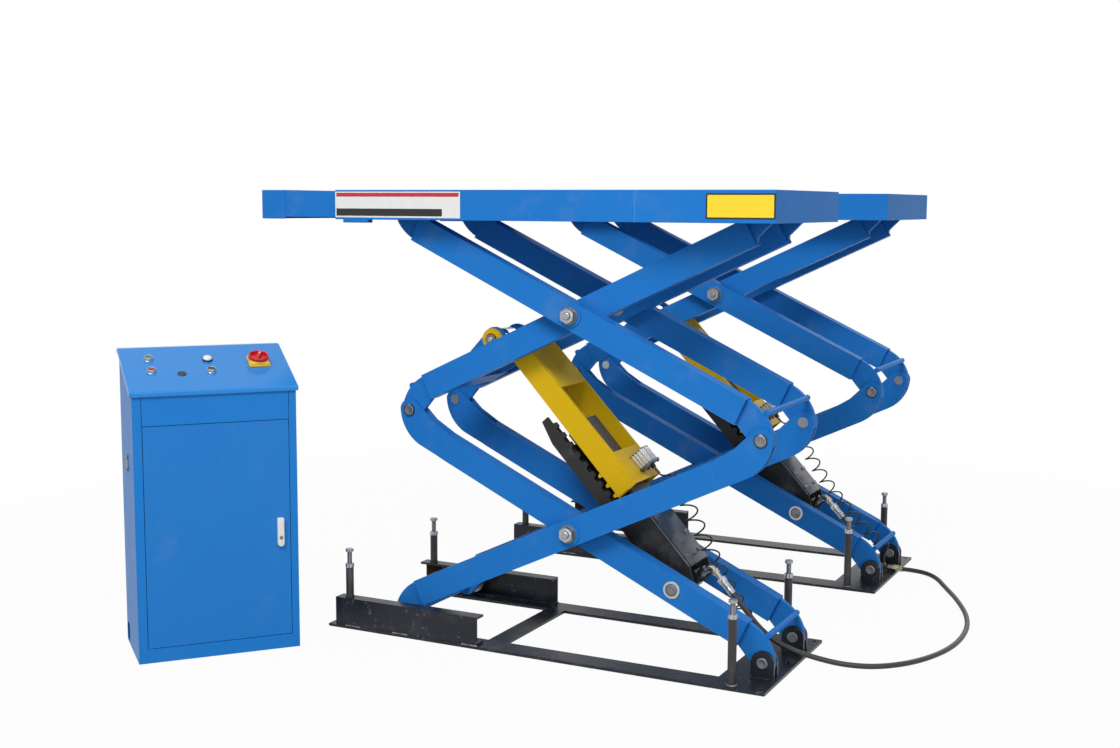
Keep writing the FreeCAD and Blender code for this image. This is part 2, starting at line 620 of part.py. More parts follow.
def base_frame(unit):
    """The welded floor frame: two strips, a cross bar and an end plate, with the ears and two posts."""
    body = unit.body("base_frame")
    floor = -S.PivotHeight
    top = floor + S.PlateThick
    right = S.BaseRight
    left = right - BASE_LONG
    half = S.BaseWide / 2
    pad(body, "XY", floor, top, box(left, right - S.EndPlateLong, half - S.StripWide, half))
    pad(body, "XY", floor, top, box(left, right - S.EndPlateLong, -half, S.StripWide - half))
    pad(body, "XY", floor, top, box(right - S.EndPlateLong, right, -half, half))
    bar = right - S.BarFromRight
    pad(body, "XY", floor, top, box(bar - S.BarLong, bar, S.StripWide - half, half - S.StripWide))
    ears(body, MIDDLE_IN, top, 1)
    post = right - S.PostRight
    wide = half - S.PostRightSide
    pad(body, "XY", top, top + S.PostHigh, (post, wide, S.PostRadius), (post, -wide, S.PostRadius))
    cut(body, "XY", floor - S.Overrun, top + S.PostHigh, (post, wide, S.PostBore), (post, -wide, S.PostBore))
    holes = [(x, side * (half - S.AnchorSide), S.AnchorRadius)
             for x in (left + S.AnchorInset, right - S.AnchorInset) for side in (-1, 1)]
    cut(body, "XY", floor, top, *holes)
    unit.place(body)


def base_rails(unit):
    """Two channels, open towards each other, that the lower rollers run in, each with a bolt post."""
    body = unit.body("base_rails")
    low = S.PlateThick - S.PivotHeight
    high = low + S.RailHigh
    out = S.BaseWide / 2 - S.RailSide
    inside = out - S.RailWide
    left = S.RailInset - S.ArmPitch - S.BasePast
    for side in (-1, 1):
        outline = [(side * inside, low), (side * out, low), (side * out, high), (side * inside, high),
                   (side * inside, high - S.RailFlange), (side * (out - S.RailWeb), high - S.RailFlange),
                   (side * (out - S.RailWeb), low + S.RailFlange), (side * inside, low + S.RailFlange)]
        pad(body, "YZ", left, left + S.RailLong, outline)
    post = S.PostLeft - S.ArmPitch - S.BasePast
    wide = S.BaseWide / 2 - S.PostLeftSide
    pad(body, "XY", high, high + S.PostOnRail, (post, wide, S.PostRadius), (post, -wide, S.PostRadius))
    cut(body, "XY", high, high + S.PostOnRail, (post, wide, S.PostBore), (post, -wide, S.PostBore))
    unit.place(body)


def levelling_bolts(units):
    """Four long bolts in each unit, with a lock nut on each post."""
    body = new_body("levelling_bolts")
    floor = S.PlateThick
    right_foot, right_post = S.SeatGap, floor + S.PostHigh
    rail = floor + S.RailHigh
    left_foot, left_post = rail + S.SeatGap, rail + S.PostOnRail
    places = [(S.BaseRight - S.PostRight, S.BaseWide / 2 - S.PostRightSide, right_foot, right_post),
              (S.PostLeft - S.ArmPitch - S.BasePast, S.BaseWide / 2 - S.PostLeftSide, left_foot, left_post)]
    top = S.BoltTop + S.BoltHeadThick
    for x, across, foot, post in places:
        spots = [(x, unit.y + side * across) for unit in units for side in (-1, 1)]
        pad(body, "XY", foot, top, *[(spot[0], spot[1], S.BoltRadius) for spot in spots])
        pad(body, "XY", S.BoltTop, top, *[hexagon(spot[0], spot[1], S.BoltHeadFlats) for spot in spots])
        nut = post + S.SeatGap
        pad(body, "XY", nut, nut + S.BoltNutThick,
            *[hexagon(spot[0], spot[1], S.BoltNutFlats) for spot in spots])
    set_down(body, units[0].x, 0, 0)


def platform(unit):
    """The deck with its skirts, roller tracks, ribs and the ears of the fixed upper pivots."""
    body = unit.body("platform")
    half, wall = S.DeckWide / 2, S.SkirtThick
    top = S.DeckAbovePivot
    bottom, under = top - S.DeckDeep, top - S.DeckThick
    right = S.DeckRight
    left = -S.ArmPitch - S.DeckPast
    section = [(-half, bottom), (wall - half, bottom), (wall - half, under), (half - wall, under),
               (half - wall, bottom), (half, bottom), (half, top), (-half, top)]
    pad(body, "YZ", left, right, section)
    pad(body, "YZ", right - wall, right, box(wall - half, half - wall, bottom, under))
    ears(body, MIDDLE_IN, under, -1)
    track_left = left + S.PlateInset
    face = MIDDLE_OUT + S.TubeWide / 2 + S.RollerSide
    lip = half - S.LipReach
    shelf = -S.TopRollerRadius - S.SeatGap
    web = face + S.RollerWide + S.RollerPlay * 2
    for side in (-1, 1):
        track = [(side * lip, bottom), (side * (half - wall), bottom), (side * (half - wall), bottom + wall),
                 (side * (web + S.TrackWeb), bottom + wall), (side * (web + S.TrackWeb), shelf),
                 (side * face, shelf), (side * face, shelf - wall), (side * web, shelf - wall),
                 (side * web, bottom + wall), (side * lip, bottom + wall)]
        pad(body, "YZ", track_left, track_left + S.TrackLong, track)
        rib = side * S.RibSide
        pad(body, "YZ", -S.RibStart, -S.TongueReach,
            box(rib - S.RibThick / 2, rib + S.RibThick / 2, under - S.RibDeep, under))
        stop = left + S.StopLeft
        low, high = (bottom - S.StopThick, bottom)
        edge = span(side, half - S.StopWide, half)
        pad(body, "XY", low, high, box(stop, stop + S.StopLong, edge[0], edge[1]))
    unit.place(body, 0, RISE * 2)


def platform_extension(unit):
    """The pull-out end of the platform: a channel that slides inside the skirts, with a full-size cap."""
    body = unit.body("platform_extension")
    half = S.DeckWide / 2
    top = S.DeckAbovePivot
    bottom = top - S.DeckDeep
    inner = half - S.SkirtThick - S.ExtensionSide
    slide = top - S.DeckThick - S.ExtensionDrop
    wall = S.ExtensionThick
    main_left = -S.ArmPitch - S.DeckPast
    left = main_left - S.ExtensionOut
    low = slide - S.ExtensionDeep
    section = [(-inner, low), (wall - inner, low), (wall - inner, slide - wall), (inner - wall, slide - wall),
               (inner - wall, low), (inner, low), (inner, slide), (-inner, slide)]
    pad(body, "YZ", left, main_left + S.ExtensionIn, section)
    cap = [(-half, bottom), (-inner, bottom), (-inner, slide), (inner, slide), (inner, bottom),
           (half, bottom), (half, top), (-half, top)]
    pad(body, "YZ", left, left + S.CapLong, cap)
    pad(body, "YZ", left, left + wall, box(-half, half, bottom, top))
    unit.place(body, 0, RISE * 2)


def cylinder_frame():
    """The cylinder's foot, its head and its tilt, from the unit's pivots, in the raised position."""
    along, up = cosine(S.RaisedAngle), sine(S.RaisedAngle)
    foot = (S.FootAbove * up - S.FootAlong * along, S.FootAlong * up + S.FootAbove * along)
    head = (-RUN + S.HeadAlong * along - S.HeadAbove * up, RISE + S.HeadAlong * up + S.HeadAbove * along)
    across, rise = foot[0] - head[0], head[1] - foot[1]
    reach = root(across * across + rise * rise)
    tilt = math.degrees(math.atan2(float(rise), float(across)))
    return foot, head, reach, tilt


REACH = cylinder_frame()[2]
BARREL_END = REACH - S.BarrelShort
STROKE_ROOM = REACH - S.PistonStand
HOUSING_END = REACH - S.HousingShort
RACK_END = REACH - S.RackShort
LATCH_LONG = REACH - S.LatchShort


def cylinder_foot_shaft(unit):
    """The shaft through both lower inner arms that carries the cylinder's foot."""
    body = unit.body("cylinder_foot_shaft")
    zero = 0 * S.PinRadius
    face = S.InnerFace + S.TubeWide
    pad(body, "XZ", -face - S.FootBossThick, face + S.FootBossThick, (zero, zero, S.PinRadius))
    for side in (-1, 1):
        low, high = span(side, face + S.SeatGap, face + S.SeatGap + S.FootBossThick)
        pad(body, "XZ", low, high, (zero, zero, S.FootBossRadius))
    foot = cylinder_frame()[0]
    unit.place(body, foot[0], foot[1], cylinder_frame()[3])


def cylinder_tube(unit):
    """The barrel, bored for the piston, with its foot eye, gland and port. X points away from the head."""
    body = unit.body("cylinder_tube")
    zero = 0 * S.PinRadius
    pad(body, "YZ", -BARREL_END, -S.BarrelStart, (zero, zero, S.BarrelRadius))
    pad(body, "XZ", -S.EyeHalf, S.EyeHalf, (zero, zero, S.EyeRadius))
    cut(body, "YZ", S.GlandLong - BARREL_END, -S.BarrelFloor, (zero, zero, S.BarrelBore))
    cut(body, "YZ", -BARREL_END, S.GlandLong - BARREL_END, (zero, zero, S.RodRadius + S.RodFit))
    pad(body, "XY", zero, S.PortTop, (S.PortAlong, zero, S.PortRadius))
    cut(body, "XZ", -S.EyeHalf, S.EyeHalf, (zero, zero, PIN_BORE))
    port_elbow(body)
    foot, head, reach, tilt = cylinder_frame()
    unit.place(body, foot[0], foot[1], tilt)


def elbow_height():
    return S.PortTop + S.ElbowRise + S.ElbowBend


def port_elbow(body):
    """The bent pipe from the port, with a nut and the crimped ferrule that holds the hose."""
    zero = 0 * S.PinRadius
    up = elbow_height()
    spine = new_sketch(body, "XZ", zero)
    turn = S.PortAlong + S.ElbowBend
    corners = [(S.PortAlong, S.PortTop - S.ElbowRise), (S.PortAlong, up - S.ElbowBend),
               (turn, up, -S.ElbowBend), (S.ElbowReach, up)]
    draw_path(spine, corners)
    ring = new_sketch(body, "XY", S.PortTop - S.ElbowRise)
    draw_circle(ring, S.PortAlong, zero, S.ElbowRadius)
    pipe = body.newObject("PartDesign::AdditivePipe", body.Label + "_elbow")
    pipe.Profile = ring
    pipe.Spine = spine
    nut = S.ElbowReach - S.ElbowNut
    pad(body, "YZ", nut, S.ElbowReach, [(y, up + z) for y, z in hexagon(zero, zero, S.NutFlatsSmall)])
    pad(body, "YZ", S.ElbowReach, S.ElbowReach + S.FerruleLong, (zero, up, S.FerruleRadius))


def cylinder_rod(unit):
    """The chromed rod, with its piston, its eye and the middle part of the head pin."""
    body = unit.body("cylinder_rod")
    zero = 0 * S.PinRadius
    pad(body, "YZ", zero + S.EyeRadius / 2, STROKE_ROOM - S.PistonLong, (zero, zero, S.RodRadius))
    pad(body, "YZ", STROKE_ROOM - S.PistonLong, STROKE_ROOM, (zero, zero, S.BarrelBore - S.PistonFit))
    pad(body, "XZ", -S.EyeHalf, S.EyeHalf, (zero, zero, S.EyeRadius))
    end = S.LugInside - S.SeatGap
    pad(body, "XZ", -end, end, (zero, zero, S.PinRadius))
    foot, head, reach, tilt = cylinder_frame()
    unit.place(body, head[0], head[1], tilt)


def latch_rack(unit):
    """The housing round the barrel: two side plates, a ribbed cover, a floor and two toothed racks."""
    body = unit.body("latch_rack")
    zero = 0 * S.PinRadius
    below = -S.HousingBelow
    side_view = [(S.HousingFoot, -S.HousingBelow / 6), (S.HousingFoot - S.HousingHeel, S.HousingBelow / 2),
                 (-S.RidgeStart, S.RidgeAbove), (-S.RidgeEnd, S.RidgeAbove),
                 (-S.RidgeEnd - S.RidgeAbove / 2, S.RackTop - S.ToothDeep),
                 (-HOUSING_END, S.RackTop - S.ToothDeep), (-HOUSING_END, below + S.HousingBelow / 3),
                 (S.NoseLong - HOUSING_END, below), (-S.HousingTail, below)]
    racks = rack_outline(below)
    for side in (-1, 1):
        low, high = span(side, S.HousingInside, S.HousingInside + S.HousingSheet)
        pad(body, "XZ", low, high, side_view)
        low, high = span(side, S.HousingInside + S.HousingSheet, S.RackInside)
        spacers = [box(start - S.SpacerLong, start, below / 2, below / 4)
                   for start in (-S.SpacerStart, S.NoseLong + S.SpacerLong - HOUSING_END)]
        pad(body, "XZ", low, high, *spacers)
        low, high = span(side, S.RackInside, S.RackInside + S.RackThick)
        pad(body, "XZ", low, high, racks)
    inside = S.HousingInside
    cover = box(-S.RidgeEnd, -S.RidgeStart, S.RidgeAbove - S.CoverThick, S.RidgeAbove)
    pad(body, "XZ", -inside, inside, cover)
    floor = box(S.NoseLong - HOUSING_END, -S.HousingTail, below, below + S.CoverThick)
    pad(body, "XZ", -inside, inside, floor)
    for side in (-1, 1):
        low, high = span(side, S.CoverRibSide, S.CoverRibSide + S.CoverRib)
        strip = box(-S.RidgeEnd, -S.RidgeStart, S.RidgeAbove, S.RidgeAbove + S.CoverRibHigh)
        pad(body, "XZ", low, high, strip)
    edge = inside + S.HousingSheet
    cut(body, "XZ", -edge, edge, (zero, zero, PIN_BORE))
    foot, head, reach, tilt = cylinder_frame()
    unit.place(body, foot[0], foot[1], tilt)


def rack_outline(below):
    """One rack: a bar with a row of teeth along its upper edge."""
    top, root = S.RackTop, S.RackTop - S.ToothDeep
    points = [(-S.RackStart, below), (-S.RackStart, root)]
    for index in range(RACK_TEETH):
        middle = -S.ToothFirst - index * S.ToothPitch
        points += [(middle + S.ToothRoot / 2, root), (middle + S.ToothTip / 2, top),
                   (middle - S.ToothTip / 2, top), (middle - S.ToothRoot / 2, root)]
    points += [(-RACK_END, root), (-RACK_END, below + S.HousingBelow / 3), (S.NoseLong - RACK_END, below)]
    return points


def latch_bracket(unit):
    """The safety latch: two side plates on the head pin, two covers and three teeth over each rack."""
    body = unit.body("latch_bracket")
    reach = cylinder_frame()[2]
    for side in (-1, 1):
        low, high = span(side, S.RackInside, S.RackInside + S.LatchThick)
        pad(body, "XZ", low, high, latch_outline(reach))
        low, high = span(side, S.RackInside + S.LatchThick, S.RackInside + S.LatchThick + S.DoublerThick)
        end = LATCH_LONG
        edge = S.LatchEdge + S.DoublerThick
        pad(body, "XZ", low, high, box(end - S.DoublerLong, end - S.DoublerThick, edge, edge + S.DoublerHigh))
        latch_head(body, side)
    inside = S.RackInside
    flat = S.LatchFrom + S.LatchCut
    slope = (S.LatchTopLow - S.LatchTop) / (LATCH_LONG - flat)
    for start, end in ((S.UpperCoverStart, S.UpperCoverEnd), (LATCH_LONG - S.LowerCoverLong, LATCH_LONG)):
        first = S.LatchTop + (start - flat) * slope
        last = S.LatchTop + (end - flat) * slope
        cover = [(start, first - S.LatchCover), (end, last - S.LatchCover), (end, last), (start, first)]
        pad(body, "XZ", -inside, inside, cover)
    zero = 0 * S.PinRadius
    top = S.LatchTopLow - S.LatchCover
    cut(body, "XY", top - S.LatchCover, S.LatchTopLow + S.LatchCover,
        (LATCH_LONG - S.AirInset - S.AirLong / 2, zero, S.PlungerRadius + S.SeatGap))
    foot, head, reach, tilt = cylinder_frame()
    unit.place(body, head[0], head[1], tilt)


def latch_head(body, side):
    """The outer part of the head pin, with the thick collar round it."""
    zero = 0 * S.PinRadius
    face = S.RackInside + S.LatchThick
    low, high = span(side, face, face + S.CollarThick)
    pad(body, "XZ", low, high, (zero, zero, S.CollarRadius))
    low, high = span(side, face + S.CollarThick, face + S.CollarThick + S.LatchPinProud)
    pad(body, "XZ", low, high, (zero, zero, S.PinRadius))
    low, high = span(side, S.LugInside + S.LugThick + S.SeatGap, S.RackInside)
    pad(body, "XZ", low, high, (zero, zero, S.PinRadius))


def latch_outline(reach):
    """A latch plate from the side: a round head, a long arm, and teeth that hang over the rack."""
    head = S.LatchHeadRadius
    edge, end = S.LatchEdge, LATCH_LONG
    points = [(-head * cosine(60), -head * sine(60), head), (head * cosine(60), -head * sine(60), head),
              (S.LatchFrom, edge)]
    tip = S.RackTop + S.PawlLift
    for index in range(PAWL_TEETH):
        middle = reach - S.ToothFirst - S.ToothPitch * (PAWL_TEETH - 1.5 - index)
        points += [(middle - S.PawlRoot / 2, edge), (middle - S.PawlTip / 2, tip),
                   (middle + S.PawlTip / 2, tip), (middle + S.PawlRoot / 2, edge)]
    return points + [(end, edge), (end, S.LatchTopLow), (S.LatchFrom + S.LatchCut, S.LatchTop),
                     (S.LatchFrom, S.LatchTop - S.LatchCutDrop),
                     (head * cosine(70), head * sine(70)), (-head, 0 * head, head)]


def latch_air_cylinder(unit):
    """The small air cylinder on the lower cover, which lifts the latch off the racks."""
    body = unit.body("latch_air_cylinder")
    zero = 0 * S.PinRadius
    half = S.AirWide / 2
    low = S.LatchTopLow + S.SeatGap
    right = LATCH_LONG - S.AirInset
    left = right - S.AirLong
    high = low + S.AirHigh
    slot, deep = S.AirSlot, S.AirSlot / 2
    outline = [(left, low), (right, low), (right, high), (left, high)]
    pad(body, "XZ", -half, half, outline)
    for index in (-1, 0, 1):
        across = index * half / 2
        pad_at = (across - slot / 2, across + slot / 2)
        cut(body, "XY", high - deep, high, box(left, right, pad_at[0], pad_at[1]))
    flange = S.AirFlangeProud
    pad(body, "XZ", -half - flange, half + flange,
        box(right - S.AirFlange, right, low + flange, high + flange))
    middle = (left + right) / 2
    pad(body, "XY", low - S.PlungerReach, low, (middle, zero, S.PlungerRadius))
    pad(body, "YZ", right, right + S.AirPort * 2, (S.CurlAcross / 2, (low + high) / 2, S.AirPort))
    foot, head, reach, tilt = cylinder_frame()
    unit.place(body, head[0], head[1], tilt)


def arc_in_corner(before, corner, after, share=0.45):
    """The arc that rounds one corner of a route: its ends, its middle point and its radius."""
    back, ahead = before - corner, after - corner
    shorter = min(back.Length, ahead.Length)
    turn = math.pi - back.getAngle(ahead)
    cut_back = share * shorter
    radius = cut_back / math.tan(turn / 2)
    back.normalize()
    ahead.normalize()
    first, last = corner + back * cut_back, corner + ahead * cut_back
    bisector = (back + ahead).normalize()
    middle = corner + bisector * (radius / math.cos(turn / 2) - radius)
    return first, middle, last, radius


def routed_tube(points, radius, name):
    """A tube along straight runs joined by tangent arcs. Its radii and its volume are printed."""
    edges = []
    radii = []
    here = points[0]
    for before, corner, after in zip(points, points[1:], points[2:]):
        first, middle, last, bend = arc_in_corner(before, corner, after)
        edges.append(Part.LineSegment(here, first).toShape())
        edges.append(Part.Arc(first, middle, last).toShape())
        radii.append(round(bend, 1))
        here = last
    edges.append(Part.LineSegment(here, points[-1]).toShape())
    path = Part.Wire(edges)
    solid = sweep(path, points[0], points[1] - points[0], radius)
    expected = math.pi * radius ** 2 * path.Length
    print(name, "radii", radii, "least in diameters", round(min(radii) / (2 * radius), 1))
    print(name, "length", round(path.Length, 1), "volume share", round(solid.Volume / expected, 4))
    return solid


def sweep(path, start, direction, radius):
    """A round tube along a path, as one pipe shell."""
    ring = Part.Wire(Part.Circle(start, direction, radius).toShape())
    solid = path.makePipeShell([ring], True, False)
    return solid


def biarc(start, leaving, end, arriving):
    """Two tangent arcs from one point and direction to another."""
    chord = end - start
    both = leaving + arriving
    spread = 2 * (1 - leaving.dot(arriving))
    reach = (math.sqrt(chord.dot(both) ** 2 + spread * chord.dot(chord)) - chord.dot(both)) / spread
    joint = (start + leaving * reach + end - arriving * reach) * 0.5
    return [arc_to(start, start + leaving * reach, joint), arc_to(joint, end - arriving * reach, end)]


def arc_to(start, corner, end):
    """The arc whose end tangents meet at the corner."""
    middle = (start + end) * 0.5
    away = corner - middle
    half = (end - start).Length / 2
    angle = math.atan2(away.Length, half)
    return Part.Arc(start, middle + away * (math.tan(angle / 2) / math.tan(angle)), end).toShape()


def curly_air_hose(unit):
    """A thin curled hose: quarter turns round a bent middle line as biarcs, with straight ends."""
    curls = CURLS[unit.name]
    pulls = [Vector(float(S.ArmPitch * x), float(S.CurlAcross), float(S.ArmPitch * z))
             for x, z in CURL_SHARES[unit.name]]
    across = Vector(0, 1, 0)
    radius = float(S.CurlRadius)
    last = 2 * math.pi * curls

    def place(turn):
        share = turn / last
        middle = pulls[0] * (1 - share) ** 2 + pulls[1] * (2 * share * (1 - share)) + pulls[2] * share ** 2
        along = (pulls[1] - pulls[0]) * (1 - share) + (pulls[2] - pulls[1]) * share
        outward = across.cross(along.normalize())
        return middle + (across * math.cos(turn) + outward * math.sin(turn)) * radius

    def heading(turn):
        step = math.pi / 1000
        return (place(turn + step) - place(turn - step)).normalize()

    turns = [index * math.pi / 2 for index in range(4 * curls + 1)]
    lead = float(S.AirLead)
    start, start_way = air_port()
    stop = air_stub_top(unit.name)
    down = Vector(0, 0, -1)
    edges = [Part.LineSegment(start, start + start_way * lead).toShape()]
    edges += biarc(start + start_way * lead, start_way, place(0), heading(0))
    for begin, end in zip(turns, turns[1:]):
        edges += biarc(place(begin), heading(begin), place(end), heading(end))
    edges += biarc(place(last), heading(last), stop - down * lead, down)
    edges.append(Part.LineSegment(stop - down * lead, stop).toShape())
    path = Part.Wire(edges)
    tube = float(S.AirTube)
    solid = sweep(path, start, start_way, tube)
    print(unit.name, "curly hose gap", round(least_gap(path, last, tube), 2), "volume share",
          round(solid.Volume / (math.pi * tube ** 2 * path.Length), 4))
    loose_piece(unit.name + "_curly_air_hose", solid, unit)


def loose_piece(label, solid, unit):
    """A swept piece in a unit's frame."""
    piece = doc.addObject("Part::Feature", label)
    piece.Label = label
    piece.Shape = solid
    piece.Placement = Placement(Vector(float(unit.x), float(unit.y), float(unit.z)), Rotation())
    made.append(piece)


def air_port():
    """The mouth of the air cylinder's port in the unit's frame, and the way it faces."""
    foot, head, reach, tilt = cylinder_frame()
    turn = Rotation(Vector(0, 1, 0), tilt)
    high = S.LatchTopLow + S.SeatGap + S.AirHigh / 2
    local = Vector(float(LATCH_LONG - S.AirInset + S.AirPort * 2), float(S.CurlAcross / 2), float(high))
    place = Vector(float(head[0]), 0, float(head[1])) + turn.multVec(local)
    return place, turn.multVec(Vector(1, 0, 0))


def air_stub_top(name):
    """The mouth of the air fitting on the base plate, below the end of the curls."""
    x, z = CURL_SHARES[name][-1]
    top = S.PlateThick + S.AirStubHigh - S.PivotHeight
    return Vector(float(S.ArmPitch * x), float(S.CurlAcross), float(top))


def least_gap(path, last, tube):
    """The least gap between one curl and the next, on points along the hose."""
    count = int(last / (math.pi / 12))
    points = path.discretize(Number=count)
    apart = [(here - there).Length for index, here in enumerate(points) for there in points[index + 12:]]
    return min(apart) - 2 * tube


def floor_share(x, y, height):
    """A place from the shares of a route. A height of 0 lies on the floor."""
    low = float(S.HoseRadius + S.SeatGap - S.PivotHeight)
    return Vector(float(S.ArmPitch * x), float(S.UnitSpacing * y), low + float(S.PivotHeight * height))


def hose_start():
    """Where the hose leaves the ferrule of a cylinder's elbow, and the way it leaves."""
    foot, head, reach, tilt = cylinder_frame()
    turn = Rotation(Vector(0, 1, 0), tilt)
    local = Vector(float(S.ElbowReach + S.FerruleLong + S.SeatGap), 0, float(elbow_height()))
    return Vector(float(foot[0]), 0, float(foot[1])) + turn.multVec(local), turn.multVec(Vector(1, 0, 0))


def hoses(units):
    """The long hose from the front cylinder to the coupling, and the short hose on to the rear cylinder."""
    start, way = hose_start()
    lead = start + way * float(S.HoseLead)
    left, right = coupling_ends()
    back = Vector(1, 0, 0) * float(S.HoseLead)
    spacing = Vector(0, float(S.UnitSpacing), 0)
    long_route = [start, lead] + [floor_share(*shares) for shares in HOSE_SHARES]
    long_route += [right + spacing + back, right + spacing]
    short_route = [start, lead] + [floor_share(*shares) for shares in SHORT_SHARES] + [left - back, left]
    radius = float(S.HoseRadius)
    loose_piece("hydraulic_hose", routed_tube(long_route, radius, "hydraulic_hose"), units[0])
    loose_piece("rear_cylinder_hose", routed_tube(short_route, radius, "rear_cylinder_hose"), units[1])


def coupling_ends():
    """Both mouths of the coupling, in the rear unit's frame."""
    z = float(S.CouplingAbove - S.PivotHeight)
    y = float(S.CouplingAcross)
    gap = float(S.SeatGap)
    left = Vector(float(S.CouplingX) - gap, y, z)
    return left, Vector(float(S.CouplingX + S.CouplingLong) + gap, y, z)


def hose_fittings(units):
    """The coupling between the two hoses, and the air fitting on each base plate."""
    body = new_body("hose_fittings")
    third = S.CouplingLong / 3
    y = S.UnitSpacing + S.CouplingAcross
    z = S.CouplingAbove - S.PivotHeight
    pad(body, "YZ", S.CouplingX, S.CouplingX + S.CouplingLong, (y, z, S.FerruleRadius))
    pad(body, "YZ", S.CouplingX + third, S.CouplingX + third * 2, hexagon(y, z, S.NutFlatsSmall))
    plate = S.PlateThick - S.PivotHeight
    for unit, y in zip(units, (0 * S.UnitSpacing, S.UnitSpacing)):
        x = S.ArmPitch * CURL_SHARES[unit.name][-1][0]
        pad(body, "XY", plate, plate + S.AirStubHigh - S.SeatGap, (x, y + S.CurlAcross, S.AirStubRadius))
        pad(body, "XY", plate, plate + S.AirStubHigh / 5, hexagon(x, y + S.CurlAcross, S.AirStubFlats))
    units[0].place(body)


def cabinet_place(body, x=0.0, y=0.0, z=0.0, tilt=0.0):
    """Put a piece in the cabinet's frame: X along its front, Y to its back."""
    turn = Placement(Vector(float(S.CabinetX), float(S.CabinetY), 0),
                     Rotation(Vector(0, 0, 1), float(S.CabinetTurn)))
    local = Placement(Vector(float(x), float(y), float(z)), Rotation(Vector(1, 0, 0), float(tilt)))
    body.Placement = turn.multiply(local)


def slope_angle():
    run = S.CabinetDeep + 2 * S.LidOver - S.ConsoleFlat
    return run, math.degrees(math.atan2(float(S.ConsoleRise), float(run)))


def console_top(down):
    """The sloped top as a broken line, lowered by some depth: front, ridge and back."""
    run = slope_angle()[0]
    front = S.CabinetFront + S.LidDeep - down
    return [(-S.LidOver, front), (run - S.LidOver, front + S.ConsoleRise),
            (S.CabinetDeep + S.LidOver, front + S.ConsoleRise)]


def cabinet_shell():
    """The sheet-metal body: a box with a door opening in front and a sloped, open top."""
    body = new_body("cabinet_shell")
    wide, deep, wall = S.CabinetWide, S.CabinetDeep, S.Sheet
    run = slope_angle()[0]
    slope = S.ConsoleRise / run
    gap = S.SeatGap
    front = S.CabinetFront + slope * S.LidOver - gap
    ridge = run - S.LidOver
    outline = [(0 * wide, 0 * wide), (deep, 0 * wide), (deep, S.CabinetFront + S.ConsoleRise - gap),
               (ridge, S.CabinetFront + S.ConsoleRise - gap), (0 * wide, front)]
    pad(body, "YZ", 0 * wide, wide, outline)
    rise = S.CabinetFront + S.ConsoleRise + S.Overrun
    cut(body, "YZ", wall, wide - wall, box(wall, deep - wall, wall, rise))
    gap = S.DoorGap
    cut(body, "XZ", 0 * wide, wall,
        box(S.DoorLeft - gap, wide - S.DoorRight + gap, S.DoorBottom - gap, S.DoorTop + gap))
    hem = wall * 5
    cut(body, "YZ", 0 * wide, wall, box(deep - S.CableCut - hem, deep - hem, hem, S.CableCut + hem))
    latch = deep / 2
    pad(body, "YZ", -wall * 2, 0 * wide, box(latch - S.SideLatchWide / 2, latch + S.SideLatchWide / 2,
                                             S.SideLatchBottom, S.SideLatchBottom + S.SideLatchHigh))
    hinge_lugs(body)
    cabinet_place(body)


def hinge_lugs(body):
    """The door's two hinge pins, each on a lug inside the shell."""
    x, y = S.DoorLeft + S.HingeInset, S.HingeInset
    lug = box(S.DoorLeft - S.HingeInset, S.DoorLeft + S.HingeLug, S.Sheet, S.HingeLug + S.Sheet)
    low = S.DoorBottom - S.SeatGap
    pad(body, "XY", low - S.HingeLug, low, lug)
    pad(body, "XY", low, low + S.HingeLug, (x, y, S.HingeRadius))
    high = S.DoorTop + S.SeatGap
    pad(body, "XY", high, high + S.HingeLug, lug)
    pad(body, "XY", high - S.HingeLug, high, (x, y, S.HingeRadius))


def cabinet_console():
    """The sloped lid: a folded sheet with a lip all round."""
    body = new_body("cabinet_console")
    wide = S.CabinetWide
    top = console_top(0 * wide)
    bottom = console_top(S.LidDeep)
    pad(body, "YZ", -S.LidOver, wide + S.LidOver, bottom + top[::-1])
    sheet_thick = S.LidSheet
    inner_top = console_top(sheet_thick)
    below = bottom[0][1] - S.Overrun
    inner = [(-S.SeatGap, below), (S.CabinetDeep + S.SeatGap, below),
             (S.CabinetDeep + S.SeatGap, inner_top[2][1]), inner_top[1], (-S.SeatGap, inner_top[0][1])]
    cut(body, "YZ", -S.SeatGap, wide + S.SeatGap, inner)
    cabinet_place(body)


def on_console(body, along, up, sink=0.0):
    """Stand a control on the slope: along is from the left, up is along the slope from the front edge."""
    angle = slope_angle()[1]
    y = float(up) * math.cos(math.radians(angle)) - float(S.LidOver)
    z = float(up) * math.sin(math.radians(angle)) + float(S.CabinetFront + S.LidDeep)
    lift = float(sink)
    y -= lift * math.sin(math.radians(angle))
    z += lift * math.cos(math.radians(angle))
    cabinet_place(body, along, y, z, angle)


def control_collars():
    """The bright collars of the three pushbuttons, in one piece of the list as they are alike."""
    body = new_body("control_collars")
    for along, up in ((S.GreenAlong, S.GreenUp), (S.RedAlong, S.RedUp), (S.BlackAlong, S.BlackUp)):
        pad(body, "XY", 0 * up, S.CollarHigh, (along, up, S.CollarOuter))
        cut(body, "XY", 0 * up, S.CollarHigh, (along, up, S.ButtonRadius + S.ButtonFit))
    on_console(body, 0, 0, S.SeatGap)


def push_button(name, along, up):
    """A button cap that travels inside its collar."""
    body = new_body(name)
    zero = 0 * along
    low = S.ButtonTravel + S.SeatGap
    pad(body, "XY", low, low + S.ButtonProud, (zero, zero, S.ButtonRadius))
    on_console(body, along, up)


def turned_control(name, along, up, steps):
    """A round control made of stacked discs, each given as (radius, low, high)."""
    body = new_body(name)
    zero = 0 * along
    for radius, low, high in steps:
        pad(body, "XY", low, high, (zero, zero, radius))
    on_console(body, along, up, S.SeatGap)
    return body


